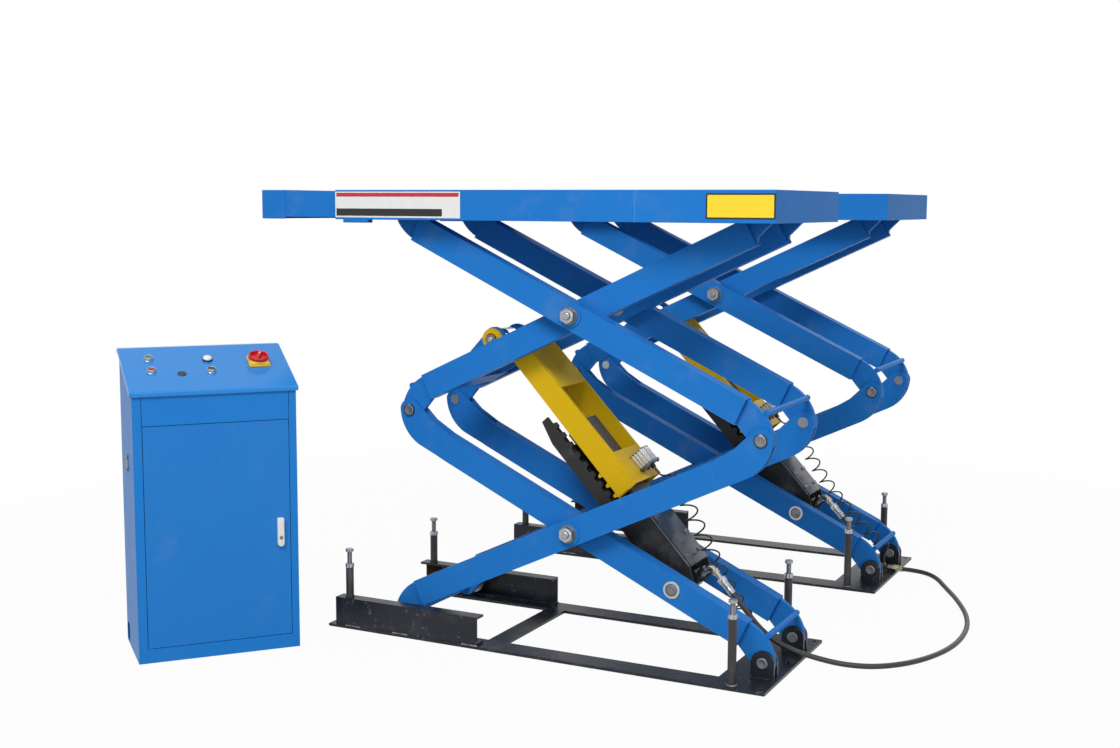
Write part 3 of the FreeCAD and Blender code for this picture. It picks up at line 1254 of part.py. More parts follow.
def dome_lamp():
    """The signal lamp: a dome turned about its axis."""
    body = new_body("signal_lamp")
    sketch = new_sketch(body, "XZ", 0 * S.LampRadius)
    zero = 0 * S.LampRadius
    rim = S.LampHigh / 4
    bulge = (S.LampRadius * S.LampRadius + (S.LampHigh - rim) * (S.LampHigh - rim)) / (2 * (S.LampHigh - rim))
    draw_outline(sketch, [(zero, zero), (S.LampRadius, zero), (S.LampRadius, rim), (zero, S.LampHigh, bulge)])
    turned = body.newObject("PartDesign::Revolution", "signal_lamp_turned")
    turned.Profile = sketch
    turned.ReferenceAxis = (sketch, ["V_Axis"])
    turned.Angle = 360
    on_console(body, S.LampAlong, S.LampUp, S.SeatGap)


def main_switch():
    """The main switch: a square plate with a round collar, and a turning knob with a raised grip."""
    body = turned_control("switch_base", S.SwitchAlong, S.SwitchUp,
                          [(S.SwitchCollar, S.SwitchPlateThick, S.SwitchPlateThick + S.SwitchCollarHigh)])
    half = S.SwitchPlate / 2
    pad(body, "XY", 0 * half, S.SwitchPlateThick, box(-half, half, -half, half))
    low = S.SwitchPlateThick + S.SwitchCollarHigh + S.SeatGap
    high = low + S.KnobHigh - S.KnobGripHigh
    knob = turned_control("switch_knob", S.SwitchAlong, S.SwitchUp, [(S.KnobRadius, low, high)])
    grip, long = S.KnobGrip / 2, S.KnobRadius - S.KnobGripInset
    pad(knob, "XY", high, high + S.KnobGripHigh, box(-grip, grip, -long, long))


def handle_place():
    """Where the handle turns, from the door's lower left corner."""
    wide = S.HandleWide / 2
    return (S.CabinetWide - S.DoorRight - S.HandleSide - wide - S.DoorLeft,
            S.HandleBottom + S.HandleHigh - wide - S.DoorBottom)


def cabinet_door():
    """The door: a flat sheet with its edges folded back."""
    body = new_body("cabinet_door")
    wide = S.CabinetWide - S.DoorLeft - S.DoorRight
    high = S.DoorTop - S.DoorBottom
    zero = 0 * wide
    pad(body, "XZ", zero, S.DoorReturn, box(zero, wide, zero, high))
    wall = S.DoorSheet
    cut(body, "XZ", wall, S.DoorReturn, box(wall, wide - wall, wall, high - wall))
    hole = (S.HingeInset, S.HingeInset, S.HingeRadius + S.PinFit)
    cut(body, "XY", zero, wall, hole)
    cut(body, "XY", high - wall, high, hole)
    cut(body, "XZ", zero, wall, handle_place() + (S.SpindleRadius + S.PinFit,))
    cabinet_place(body, S.DoorLeft, 0, S.DoorBottom)


def cabinet_door_handle():
    """The swing handle: a long plate with a raised lever."""
    body = new_body("cabinet_door_handle")
    wide, high = S.HandleWide, S.HandleHigh
    pad(body, "XZ", -S.HandlePlate - S.SeatGap, -S.SeatGap,
        box(-wide / 2, wide / 2, wide / 2 - high, wide / 2))
    inset = S.LeverInset
    face = S.HandlePlate + S.SeatGap
    pad(body, "XZ", -face - S.HandleLever, -face,
        box(inset - wide / 2, wide / 2 - inset, wide / 2 - high + inset, wide / 2 - inset))
    zero = 0 * wide
    lock = face + S.HandleLever
    pad(body, "XZ", -lock - S.LockProud, -lock, (zero, zero, S.LockRadius))
    pad(body, "XZ", -S.SeatGap, S.DoorReturn, (zero, zero, S.SpindleRadius))
    cabinet_place(body, handle_place()[0] + S.DoorLeft, 0, handle_place()[1] + S.DoorBottom)


def power_unit():
    """The hydraulic power unit inside: an oil tank on feet, a valve block and an upright motor."""
    body = new_body("power_unit")
    inset, feet = S.TankInset, S.TankFeet
    zero = 0 * inset
    pad(body, "XY", zero, S.TankHigh, box(zero, S.TankLong, zero, S.TankDeep))
    corners = [(x, y, feet / 2) for x in (feet, S.TankLong - feet) for y in (feet, S.TankDeep - feet)]
    pad(body, "XY", -feet, zero, *corners)
    pad(body, "XY", S.TankHigh, S.TankHigh + S.MotorHigh, (S.TankLong / 3, S.TankDeep / 2, S.MotorRadius))
    half = S.BlockSize / 2
    block = box(S.TankLong - half * 3, S.TankLong - half, S.TankDeep / 2 - half, S.TankDeep / 2 + half)
    pad(body, "XY", S.TankHigh, S.TankHigh + S.BlockHigh, block)
    cabinet_place(body, (S.CabinetWide - S.TankLong) / 2, inset, feet + S.Sheet + S.SeatGap)


def scissor_unit(unit):
    base_frame(unit)
    base_rails(unit)
    lower_inner_arms(unit)
    lower_outer_arms(unit)
    upper_inner_arms(unit)
    upper_outer_arms(unit)
    lower_arm_pins(unit)
    upper_centre_pins(unit)
    mid_right_pins(unit)
    platform_pins(unit)
    rollers(unit, "base_rollers", S.RailHigh / 2 - S.RailFlange - S.SeatGap, 0)
    rollers(unit, "top_rollers", S.TopRollerRadius, RISE * 2)
    platform(unit)
    platform_extension(unit)
    cylinder_foot_shaft(unit)
    cylinder_tube(unit)
    cylinder_rod(unit)
    latch_rack(unit)
    latch_bracket(unit)
    latch_air_cylinder(unit)


def second_unit(front, rear):
    """The rear unit: a clone of every body of the front unit."""
    for source in list(made):
        label = rear.name + source.Label[len(front.name):]
        copy = doc.addObject("PartDesign::FeatureBase", label + "_clone")
        copy.BaseFeature = source
        body = new_body(label)
        body.Group = [copy]
        body.Tip = copy
        body.Placement = source.Placement
        bind(body, "Placement.Base.y", rear.y)


def cabinet():
    cabinet_shell()
    cabinet_console()
    cabinet_door()
    cabinet_door_handle()
    power_unit()
    control_collars()
    push_button("green_button", S.GreenAlong, S.GreenUp)
    push_button("red_button", S.RedAlong, S.RedUp)
    push_button("black_button", S.BlackAlong, S.BlackUp)
    dome_lamp()
    turned_control("buzzer", S.BuzzerAlong, S.BuzzerUp, [(S.BuzzerRadius, 0 * S.Sheet, S.BuzzerHigh)])
    main_switch()


def check(piece):
    """Stop if a piece failed."""
    if set(piece.State) & {"Invalid", "Error"}:
        raise RuntimeError("%s: %s" % (piece.Label, piece.State))
    if piece.Shape.isNull() or not piece.Shape.isValid():
        raise RuntimeError(piece.Label + ": bad shape")


def main():
    units = [Unit("front", -1), Unit("rear", 1)]
    scissor_unit(units[0])
    second_unit(*units)
    for unit in units:
        curly_air_hose(unit)
    levelling_bolts(units)
    base_pins(units)
    hoses(units)
    hose_fittings(units)
    cabinet()
    doc.recompute()
    for thing in doc.Objects:
        if set(thing.State) & {"Invalid", "Error"}:
            raise RuntimeError("%s: %s" % (thing.Label, thing.State))
    for piece in made:
        check(piece)
    os.makedirs(OUT, exist_ok=True)
    for piece in made:
        piece.Shape.exportStep(os.path.join(OUT, piece.Label + ".step"))
        print(piece.Label, len(piece.Shape.Solids), round(piece.Shape.Volume / 1000, 1))


main()
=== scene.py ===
# %% [markdown]
# # A scissor lift with its control cabinet
# The lift is already built in CAD: two scissor units, the hose between them and a cabinet. This script
# dresses that model for a picture. It rounds the edges, paints the steel, lays the hoses and adds the
# small things that a fitter would recognise.

# %% Load the CAD model
import json
import math

import bmesh
import bpy
from mathutils import Matrix, Vector


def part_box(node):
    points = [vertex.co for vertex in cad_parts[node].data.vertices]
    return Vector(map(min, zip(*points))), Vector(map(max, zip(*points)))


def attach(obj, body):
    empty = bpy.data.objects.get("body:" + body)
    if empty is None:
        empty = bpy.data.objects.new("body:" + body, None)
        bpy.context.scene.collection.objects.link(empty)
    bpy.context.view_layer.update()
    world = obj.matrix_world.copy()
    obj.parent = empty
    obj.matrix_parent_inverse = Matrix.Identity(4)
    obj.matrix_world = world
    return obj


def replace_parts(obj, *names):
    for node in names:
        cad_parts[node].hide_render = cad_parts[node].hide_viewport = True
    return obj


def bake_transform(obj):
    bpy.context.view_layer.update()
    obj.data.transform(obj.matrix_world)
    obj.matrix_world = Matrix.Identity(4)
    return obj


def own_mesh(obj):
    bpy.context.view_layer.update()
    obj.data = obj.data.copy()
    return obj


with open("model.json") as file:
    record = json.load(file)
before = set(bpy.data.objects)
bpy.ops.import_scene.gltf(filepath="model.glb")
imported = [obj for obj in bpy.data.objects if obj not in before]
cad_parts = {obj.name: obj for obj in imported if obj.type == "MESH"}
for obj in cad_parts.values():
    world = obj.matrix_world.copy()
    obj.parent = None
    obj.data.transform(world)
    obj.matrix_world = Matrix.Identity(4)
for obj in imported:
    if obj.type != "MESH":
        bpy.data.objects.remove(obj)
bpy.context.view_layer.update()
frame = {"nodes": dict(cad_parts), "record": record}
print("pieces from CAD:", len(frame["nodes"]))

UNITS = ("front", "rear")
UNIT_Y = {"front": -0.665, "rear": 0.665}
PIVOT_X, PIVOT_Z = 0.7635, 0.060


def in_unit(unit, x, y, z):
    """A place in a unit, given in millimetres from its fixed pivots, in the model's metres."""
    return Vector((x / 1000 + PIVOT_X, y / 1000 + UNIT_Y[unit], z / 1000 + PIVOT_Z))


# %% [markdown]
# ## Camera
# The photograph was taken from chest height, off the right end of the near platform. The camera was fitted
# to the pins of both units, so its place and lens are numbers and nothing is guessed by eye.

# %% Set the camera
CAMERA_PLACE = Vector((2.1704, -5.0836, 1.5008))
CAMERA_WAY = Vector((-0.44583, 0.88749, -0.11673))
CAMERA_ROLL = 0.0047
LENS, SENSOR = 46.2, 36.0


def add_camera():
    camera = bpy.data.objects.new("camera", bpy.data.cameras.new("camera"))
    camera.data.lens, camera.data.sensor_width = LENS, SENSOR
    turn = CAMERA_WAY.to_track_quat("-Z", "Y").to_matrix().to_4x4() @ Matrix.Rotation(CAMERA_ROLL, 4, "Z")
    camera.matrix_world = Matrix.Translation(CAMERA_PLACE) @ turn
    bpy.context.scene.collection.objects.link(camera)
    bpy.context.scene.camera = camera


add_camera()

# %% [markdown]
# ## Shader maths
# Materials below are worked out with ordinary Python expressions. One small class wraps a socket, and each
# operator adds the Math node that it stands for.

# %% A socket that can be added and multiplied
class Value:
    """A number that changes over the surface: the output socket of a node."""

    def __init__(self, tree, socket):
        self.tree, self.socket = tree, socket

    def node(self, kind, settings=None, **inputs):
        """Adds a node. Settings go first, and then the values or links of its sockets."""
        made = self.tree.nodes.new(kind)
        for name, value in (settings or {}).items():
            setattr(made, name, value)
        for name, value in inputs.items():
            plug(self.tree, made.inputs[name.replace("_", " ")], value)
        return made

    def maths(self, operation, first, second=0.0, clamp=False):
        made = self.node("ShaderNodeMath", {"operation": operation, "use_clamp": clamp})
        for place, value in enumerate((first, second)):
            plug(self.tree, made.inputs[place], value)
        return Value(self.tree, made.outputs[0])

    def __add__(self, other):
        return self.maths("ADD", self, other)

    def __radd__(self, other):
        return self.maths("ADD", other, self)

    def __sub__(self, other):
        return self.maths("SUBTRACT", self, other)

    def __rsub__(self, other):
        return self.maths("SUBTRACT", other, self)

    def __mul__(self, other):
        return self.maths("MULTIPLY", self, other)

    def __rmul__(self, other):
        return self.maths("MULTIPLY", other, self)

    def between(self, low, high):
        """0 below low, 1 above high and a smooth rise between them."""
        made = self.node("ShaderNodeMapRange", {"interpolation_type": "SMOOTHSTEP"},
                         Value=self, From_Min=low, From_Max=high)
        return Value(self.tree, made.outputs["Result"])

    def limit(self):
        """The same number, kept between 0 and 1."""
        return self.maths("ADD", self, 0.0, clamp=True)


def plug(tree, socket, value):
    """Sets a socket to a number or colour, or links a value to it."""
    if isinstance(value, Value):
        tree.links.new(value.socket, socket)
    else:
        socket.default_value = value


def new_material(name):
    """A material, its Principled shader and a Value that stands at the object's own coordinates."""
    material = bpy.data.materials.new(name)
    material.use_nodes = True
    tree = material.node_tree
    coordinates = tree.nodes.new("ShaderNodeTexCoord")
    return material, tree.nodes["Principled BSDF"], Value(tree, coordinates.outputs["Object"])


def noise(here, scale, detail=3.0, roughness=0.5):
    """A noise value from 0 to 1. Scale is in lumps per metre."""
    made = here.node("ShaderNodeTexNoise", Vector=here, Scale=scale, Detail=detail, Roughness=roughness)
    return Value(here.tree, made.outputs["Fac"])


def blend_colors(here, share, first, second):
    """One colour where share is 0, the other where it is 1."""
    made = here.node("ShaderNodeMix", {"data_type": "RGBA"})
    for place, value in ((0, share), (6, first), (7, second)):
        plug(here.tree, made.inputs[place], value)
    return Value(here.tree, made.outputs[2])


def bump(here, height, strength, distance):
    """A normal that leans with the slope of a height. Distance is in metres."""
    made = here.node("ShaderNodeBump", Height=height, Strength=strength, Distance=distance)
    return Value(here.tree, made.outputs["Normal"])


def rgb(red, green, blue):
    return (red, green, blue, 1.0)


def darker(color, share):
    """The same colour at a share of its brightness."""
    return rgb(*[part * share for part in color[:3]])


print("a Value stands for a socket, and an expression on values adds its nodes")


# %% [markdown]
# ## Floor and light
# The photograph has a pure white ground with hardly a shadow. A white floor and a white world seen by the
# camera give that, while three large soft lamps light the paint at a level where a colour looks as written.

# %% Lay the floor and hang the lamps
bpy.context.scene.view_settings.view_transform = "Standard"
FLOOR_REACH, FLOOR_LOW, FLOOR_WHITE = 300.0, -0.0005, 0.96
SHADE_FROM, SHADE_TO = 2.2, 4.5
WORLD_LEVEL, LAMP_AIM = 0.46, Vector((0, 0, 0.8))
LAMPS = [("key", (0.6, -5.6, 5.6), 3.0, 290), ("fill", (5.0, -4.5, 3.0), 4.0, 75),
         ("back", (1.5, 6.0, 5.0), 4.0, 120)]


def white_to_camera(here, plain, white, share=1.0):
    """Mixes a shader with plain white for the camera, for reflections and for what is seen through."""
    path = here.node("ShaderNodeLightPath")
    camera, glossy, through = (Value(here.tree, path.outputs[name]) for name in
                               ("Is Camera Ray", "Is Glossy Ray", "Is Transmission Ray"))
    seen = (camera + glossy + through).limit() * share
    mix = here.node("ShaderNodeMixShader", Fac=seen)
    here.tree.links.new(plain, mix.inputs[1])
    here.tree.links.new(white, mix.inputs[2])
    return mix.outputs[0]


def floor_material():
    """White to the camera, and still darkened a little where the lift keeps the light off."""
    material, shader, here = new_material("floor")
    shader.inputs["Base Color"].default_value = rgb(0.50, 0.50, 0.50)
    shader.inputs["Roughness"].default_value = 0.9
    white = here.node("ShaderNodeEmission", Color=rgb(1, 1, 1), Strength=1.0)
    distance = here.node("ShaderNodeVectorMath", {"operation": "LENGTH"})
    here.tree.links.new(here.socket, distance.inputs[0])
    near = 1 - Value(here.tree, distance.outputs["Value"]).between(SHADE_FROM, SHADE_TO)
    share = 1 - near * (1 - FLOOR_WHITE)
    output = here.tree.nodes["Material Output"]
    here.tree.links.new(white_to_camera(here, shader.outputs[0], white.outputs[0], share), output.inputs[0])
    return material


def add_floor():
    shape = bmesh.new()
    bmesh.ops.create_grid(shape, x_segments=1, y_segments=1, size=FLOOR_REACH)
    mesh = bpy.data.meshes.new("floor")
    shape.to_mesh(mesh)
    shape.free()
    floor = bpy.data.objects.new("floor", mesh)
    floor.location.z = FLOOR_LOW
    mesh.materials.append(floor_material())
    bpy.context.scene.collection.objects.link(floor)


def add_world():
    """An even soft light, which the camera sees as white."""
    world = bpy.data.worlds.new("world")
    world.use_nodes = True
    here = Value(world.node_tree, None)
    background = world.node_tree.nodes["Background"]
    background.inputs["Color"].default_value = rgb(1, 1, 1)
    background.inputs["Strength"].default_value = WORLD_LEVEL
    white = here.node("ShaderNodeBackground", Color=rgb(1, 1, 1), Strength=1.0)
    output = world.node_tree.nodes["World Output"]
    here.tree.links.new(white_to_camera(here, background.outputs[0], white.outputs[0]), output.inputs[0])
    bpy.context.scene.world = world


def add_lamp(name, place, size, power):
    """A round soft lamp that looks at the middle of the lift."""
    lamp = bpy.data.objects.new(name, bpy.data.lights.new(name, "AREA"))
    lamp.data.shape, lamp.data.size, lamp.data.energy = "DISK", size, power
    turn = (LAMP_AIM - Vector(place)).to_track_quat("-Z", "Y").to_matrix().to_4x4()
    lamp.matrix_world = Matrix.Translation(place) @ turn
    bpy.context.scene.collection.objects.link(lamp)


add_floor()
add_world()
for lamp_facts in LAMPS:
    add_lamp(*lamp_facts)
print("lamps:", len(LAMPS))

# %% [markdown]
# ## Paints and metals
# The arms and decks are powder coated blue. Powder coat isn't flat: it has a faint orange-peel surface, the
# colour drifts a little, and dust dulls it in places. The frames are black enamel, thinner and rougher, over
# hot-rolled bar. Zinc plating is brighter and slightly cloudy.

# %% Mix the paints
DUST, RUBBED_STEEL = rgb(0.42, 0.42, 0.42), rgb(0.17, 0.17, 0.18)


def paint(name, color, deep, rough, peel, grain=0.0, dust=0.08, shine=0.10, worn=0.0):
    """A painted surface: a drifting colour, orange peel, dust that dulls it and, if worn, rubbed spots."""
    material, shader, here = new_material(name)
    shader.inputs["Specular IOR Level"].default_value = shine
    drift = noise(here, 2.2, 4.0)
    dusty = noise(here, 9.0, 6.0, 0.6).between(0.52, 0.78) * dust
    tone = blend_colors(here, drift, color, deep)
    tone = blend_colors(here, dusty, tone, DUST)
    if worn:
        rubbed = noise(here, 46.0, 5.0, 0.62).between(0.60, 0.70) * worn
        tone = blend_colors(here, rubbed, tone, RUBBED_STEEL)
    plug(here.tree, shader.inputs["Base Color"], tone)
    plug(here.tree, shader.inputs["Roughness"], rough + noise(here, 14.0, 5.0) * 0.10 + dusty)
    height = noise(here, 260.0, 2.0) * peel + noise(here, 28.0, 4.0) * grain
    plug(here.tree, shader.inputs["Normal"], bump(here, height, 0.35, 0.0006))
    return material


def plated(name, color, rough, cloud, metal=1.0):
    """Plated or turned metal: cloudy and with fine streaks."""
    material, shader, here = new_material(name)
    clouds = noise(here, 40.0, 5.0)
    tone = blend_colors(here, clouds * cloud, color, darker(color, 0.55))
    plug(here.tree, shader.inputs["Base Color"], tone)
    shader.inputs["Metallic"].default_value = metal
    plug(here.tree, shader.inputs["Roughness"], rough + clouds * 0.12)
    plug(here.tree, shader.inputs["Normal"], bump(here, noise(here, 420.0, 2.0), 0.2, 0.0003))
    return material


def plastic(name, color, rough, grain):
    """Moulded plastic with a fine even grain."""
    material, shader, here = new_material(name)
    tone = blend_colors(here, noise(here, 30.0), color, darker(color, 0.9))
    plug(here.tree, shader.inputs["Base Color"], tone)
    plug(here.tree, shader.inputs["Roughness"], rough + noise(here, 90.0) * 0.06)
    plug(here.tree, shader.inputs["Normal"], bump(here, noise(here, 900.0, 1.0), grain, 0.0002))
    return material


BLUE = paint("blue_paint", rgb(0.020, 0.190, 0.575), rgb(0.016, 0.162, 0.510), 0.34, 0.55, shine=0.03)
CABINET_BLUE = paint("cabinet_blue", rgb(0.015, 0.207, 0.610), rgb(0.012, 0.186, 0.570), 0.36, 1.0, 0.4,
                     dust=0.03, shine=0.14)
CONSOLE_BLUE = paint("console_blue", rgb(0.020, 0.240, 0.670), rgb(0.016, 0.220, 0.630), 0.14, 0.5,
                     dust=0.02, shine=0.26)
DOOR_BLUE = paint("door_blue", rgb(0.022, 0.208, 0.605), rgb(0.014, 0.180, 0.550), 0.40, 2.6, 1.4,
                  dust=0.05, shine=0.14)
BLACK = paint("black_paint", rgb(0.007, 0.009, 0.014), rgb(0.015, 0.018, 0.026), 0.30, 0.4, 0.8, 0.10,
              shine=0.30, worn=0.55)
HOUSING_BLACK = paint("housing_black", rgb(0.005, 0.006, 0.009), rgb(0.011, 0.012, 0.016), 0.30, 0.4, 0.8,
                      0.08, shine=0.3)
YELLOW = paint("yellow_paint", rgb(0.72, 0.46, 0.007), rgb(0.64, 0.40, 0.006), 0.30, 0.5, 0.0, 0.06)
ZINC = plated("zinc_steel", rgb(0.40, 0.42, 0.44), 0.32, 0.5)
CHROME = plated("hard_chrome", rgb(0.72, 0.72, 0.74), 0.10, 0.12)
ALUMINIUM = plated("cast_aluminium", rgb(0.60, 0.61, 0.62), 0.34, 0.3)
BRASS = plated("brass_fitting", rgb(0.38, 0.34, 0.26), 0.30, 0.4)
RUBBER = plastic("hose_rubber", rgb(0.022, 0.022, 0.023), 0.46, 0.5)
AIR_TUBE = plastic("air_tube", rgb(0.016, 0.016, 0.018), 0.28, 0.1)
WHITE = plastic("white_plastic", rgb(0.80, 0.80, 0.79), 0.32, 0.2)
GREEN = plastic("green_plastic", rgb(0.012, 0.20, 0.10), 0.30, 0.1)
RED = plastic("red_plastic", rgb(0.60, 0.012, 0.014), 0.32, 0.1)
DARK_RED = plastic("button_red", rgb(0.30, 0.012, 0.022), 0.30, 0.1)
BLACK_PLASTIC = plastic("black_plastic", rgb(0.018, 0.018, 0.020), 0.30, 0.3)
YELLOW_PLASTIC = plastic("yellow_plastic", rgb(0.88, 0.56, 0.01), 0.34, 0.2)
SLOT_MATERIAL = {
    "black_paint": BLACK, "blue_paint": BLUE, "cabinet_blue": CABINET_BLUE, "yellow_paint": YELLOW,
    "zinc_steel": ZINC, "cylinder_black": HOUSING_BLACK, "hard_chrome": CHROME, "cast_aluminium": ALUMINIUM,
    "air_tube": AIR_TUBE, "hose_rubber": RUBBER, "brass_fitting": BRASS, "chrome_trim": CHROME,
    "white_plastic": WHITE, "green_plastic": GREEN, "red_plastic": RED, "black_plastic": BLACK_PLASTIC,
    "white_lens": WHITE, "yellow_plastic": YELLOW_PLASTIC}
print("materials:", len(SLOT_MATERIAL))

# %% [markdown]
# ## Hoses
# A hydraulic hose is a steel-braided rubber pipe, stiff enough to bend only in wide curves. It leaves the
# ferrule of the front cylinder straight, sinks to the floor, runs round to the rear unit and goes on to that
# cylinder. A smooth spline through a few route points bends as such a hose does. It becomes a mesh tube,
# laid once, though on the lift its end at the cylinder swings with the arms when the lift goes down.

# %% Lay the hydraulic hoses
HOSE_THICK = 0.018
LONG_ROUTE = [
    (0.5958, -0.6650, 0.2223), (0.6431, -0.6650, 0.1706), (0.7016, -0.6510, 0.0993),
    (0.7695, -0.6190, 0.0489), (0.8516, -0.5891, 0.0213), (0.9536, -0.5852, 0.0093),
    (1.0635, -0.5570, 0.0093), (1.1655, -0.4390, 0.0093), (1.2335, -0.2450, 0.0093),
    (1.2420, -0.0250, 0.0093), (1.2056, 0.1770, 0.0093), (1.1265, 0.3857, 0.0093),
    (1.0455, 0.5520, 0.0093), (0.9855, 0.6597, 0.0183), (0.9138, 0.6950, 0.0255),
    (0.8438, 0.6950, 0.0255)]
SHORT_ROUTE = [
    (0.5958, 0.6650, 0.2223), (0.6431, 0.6650, 0.1706), (0.6596, 0.6790, 0.0753),
    (0.7132, 0.6950, 0.0255), (0.7832, 0.6950, 0.0255)]


def spline_through(name, places, steps):
    """A smooth open spline with these places as its control points."""
    curve = bpy.data.curves.new(name, "CURVE")
    curve.dimensions, curve.resolution_u, curve.twist_mode = "3D", steps, "MINIMUM"
    spline = curve.splines.new("NURBS")
    spline.points.add(len(places) - 1)
    for point, place in zip(spline.points, places):
        point.co = (*place, 1.0)
    spline.order_u = 3
    spline.use_endpoint_u = True
    thing = bpy.data.objects.new(name, curve)
    bpy.context.scene.collection.objects.link(thing)
    return thing


def points_along(line):
    """The points of a spline with no thickness."""
    mesh = bpy.data.meshes.new_from_object(line)
    places = [vertex.co.copy() for vertex in mesh.vertices]
    bpy.data.meshes.remove(mesh)
    return places


def tube_along(name, line, thick, sides):
    """Turns a spline into a closed mesh tube, and gives the points that it follows."""
    places = points_along(line)
    line.data.bevel_depth, line.data.bevel_resolution, line.data.use_fill_caps = thick / 2, sides, True
    mesh = bpy.data.meshes.new_from_object(line)
    mesh.name = name
    bpy.data.objects.remove(line)
    for polygon in mesh.polygons:
        polygon.use_smooth = True
    tube = bpy.data.objects.new(name, mesh)
    bpy.context.scene.collection.objects.link(tube)
    return tube, places


def run_length(places):
    """The length of a line through these places, in metres."""
    return sum((there - here).length for here, there in zip(places, places[1:]))


def lay_hose(name, node, route):
    """A hose on the floor, laid once as a still mesh tube; on the lift its first end swings with the lower
    arms.
    """
    tube, places = tube_along(name, spline_through(name, route, 10), HOSE_THICK, 4)
    tube.data.materials.append(RUBBER)
    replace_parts(tube, node)
    length = run_length(places)
    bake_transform(tube)
    print(name, "is", round(length, 4), "m long")


lay_hose("long_hose", "hydraulic_hose", LONG_ROUTE)
lay_hose("short_hose", "rear_cylinder_hose", SHORT_ROUTE)

# %% [markdown]
# ## Curled air hoses
# The latch is lifted by air through a thin curled nylon tube, which springs in and out as the arms move.
# Its middle line is a slack curve between the air cylinder and the stub on the base. The helix is wound
# round that line as more control points of the hose's own spline, and each curl leans over a little, as
# those of a hanging coil do. When the lift goes down, the air cylinder sinks by a third of a metre almost
# straight, so on the lift the coil is squashed along that way towards its stub while its upper end stays at
# the port. The tube here is laid once and rides with the floor.

# %% Wind the air hoses
AIR_THICK, CURL_RADIUS, CURL_LEAN, TURN_POINTS = 0.006, 0.0240, 0.0090, 16
LINE_POINTS, LINE_STEPS, TUBE_STEPS = 120, 40, 3
AIR_PORT = (-0.4625, 0.023, 0.5561)
LEADS = (0.014, 0.034)
STUB_SIDE, STUB_TOP, STUB_LEAD = 0.046, -0.020, Vector((0, 0, 0.012))
AIR_WAY = Vector((0.6751, 0.0, -0.7378))
CURL_LINES = {
    "front": (10, [(-0.384, 0.040, 0.506), (-0.2640, 0.041, 0.270), (-0.105, 0.046, 0.030)]),
    "rear": (11, [(-0.384, 0.040, 0.506), (-0.2490, 0.041, 0.2355), (0.0, 0.046, 0.042)])}


def place_in(unit, x, y, z):
    """A place in a unit, in metres from its fixed pivots."""
    return Vector((x + PIVOT_X, y + UNIT_Y[unit], z + PIVOT_Z))


def evenly(line, count):
    """The same line as points at equal distances."""
    gone = [0.0]
    for start, stop in zip(line, line[1:]):
        gone.append(gone[-1] + (stop - start).length)
    points, index = [], 0
    for number in range(count):
        want = gone[-1] * number / (count - 1)
        while index < len(line) - 2 and gone[index + 1] < want:
            index += 1
        share = (want - gone[index]) / (gone[index + 1] - gone[index])
        points.append(line[index].lerp(line[index + 1], share))
    return points


def wind(line, curls, radius):
    """Places on a helix round a line's points, with half a turn more before its first point."""
    places = []
    steps = curls * TURN_POINTS
    for step in range(-TURN_POINTS // 2, steps + 1):
        share = step / steps * (len(line) - 1)
        index = max(0, min(int(share), len(line) - 2))
        along = (line[index + 1] - line[index]).normalized()
        middle = line[index].lerp(line[index + 1], share - index)
        turn = 2 * math.pi * step / TURN_POINTS
        across = Vector((0, 1, 0))
        curl = (across * math.cos(turn) + across.cross(along) * math.sin(turn)) * radius
        places.append(middle + curl + along * (CURL_LEAN * math.cos(turn)))
    return places


def curled_hose(unit):
    curls, pulls = CURL_LINES[unit]
    name = unit + "_curled_air_hose"
    middle = spline_through(name + "_line", [place_in(unit, *pull) for pull in pulls], LINE_STEPS)
    line = evenly(points_along(middle), LINE_POINTS)
    bpy.data.objects.remove(middle)
    port = place_in(unit, *AIR_PORT)
    stub = place_in(unit, pulls[-1][0], STUB_SIDE, STUB_TOP)
    route = [port] + [port + AIR_WAY * lead for lead in LEADS] + wind(line, curls, CURL_RADIUS)
    route += [stub + STUB_LEAD * 2.2, stub + STUB_LEAD, stub]
    tube, places = tube_along(name, spline_through(name, route, TUBE_STEPS), AIR_THICK, 2)
    tube.data.materials.append(AIR_TUBE)
    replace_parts(tube, unit + "_curly_air_hose")
    length = run_length(places)
    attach(tube, "floor")
    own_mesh(tube)
    print(name, "is", round(length, 4), "m long and has", len(route), "control points")


for unit in UNITS:
    curled_hose(unit)

# %% [markdown]
# ## Rounding what comes from CAD
# The CAD solids have razor edges, and no cut or folded steel does. The nodes stay as they are and carry
# four modifiers: Weld joins the loose triangles, a planar Decimate clears the flat faces, Bevel rounds
# each edge to the radius that the real piece has there, and Weighted Normal keeps the flat faces flat.

# %% Paint and round every node
EDGE = {"extension": 4.0, "platform": 2.5, "arms": 3.0, "console": 4.5, "cabinet": 1.5, "pins": 1.5,
        "rails": 2.0, "latch_rack": 2.0}
OTHER_EDGE = 1.0
SOFT = ("curly_air_hose", "hydraulic_hose", "rear_cylinder_hose")
WELD_WITHIN, FLAT_WITHIN, SHARP = 0.00001, math.radians(0.5), math.radians(32)


def edge_radius(node):
    """How far a node's edges are rounded, in millimetres."""
    for word, radius in EDGE.items():
        if word in node:
            return radius
    return OTHER_EDGE


def round_edges(thing, radius):
    weld = thing.modifiers.new("weld", "WELD")
    weld.merge_threshold = WELD_WITHIN
    flat = thing.modifiers.new("flat", "DECIMATE")
    flat.decimate_type, flat.angle_limit = "DISSOLVE", FLAT_WITHIN
    bevel = thing.modifiers.new("round", "BEVEL")
    bevel.width, bevel.segments, bevel.limit_method = radius / 1000, 2, "ANGLE"
    bevel.angle_limit, bevel.use_clamp_overlap = SHARP, True
    even = thing.modifiers.new("even", "WEIGHTED_NORMAL")
    even.mode, even.weight, even.keep_sharp = "FACE_AREA", 100, True


def slot_of(node):
    for part in frame["record"]["subparts"]:
        if part["node"] == node:
            return part["material_slot"]


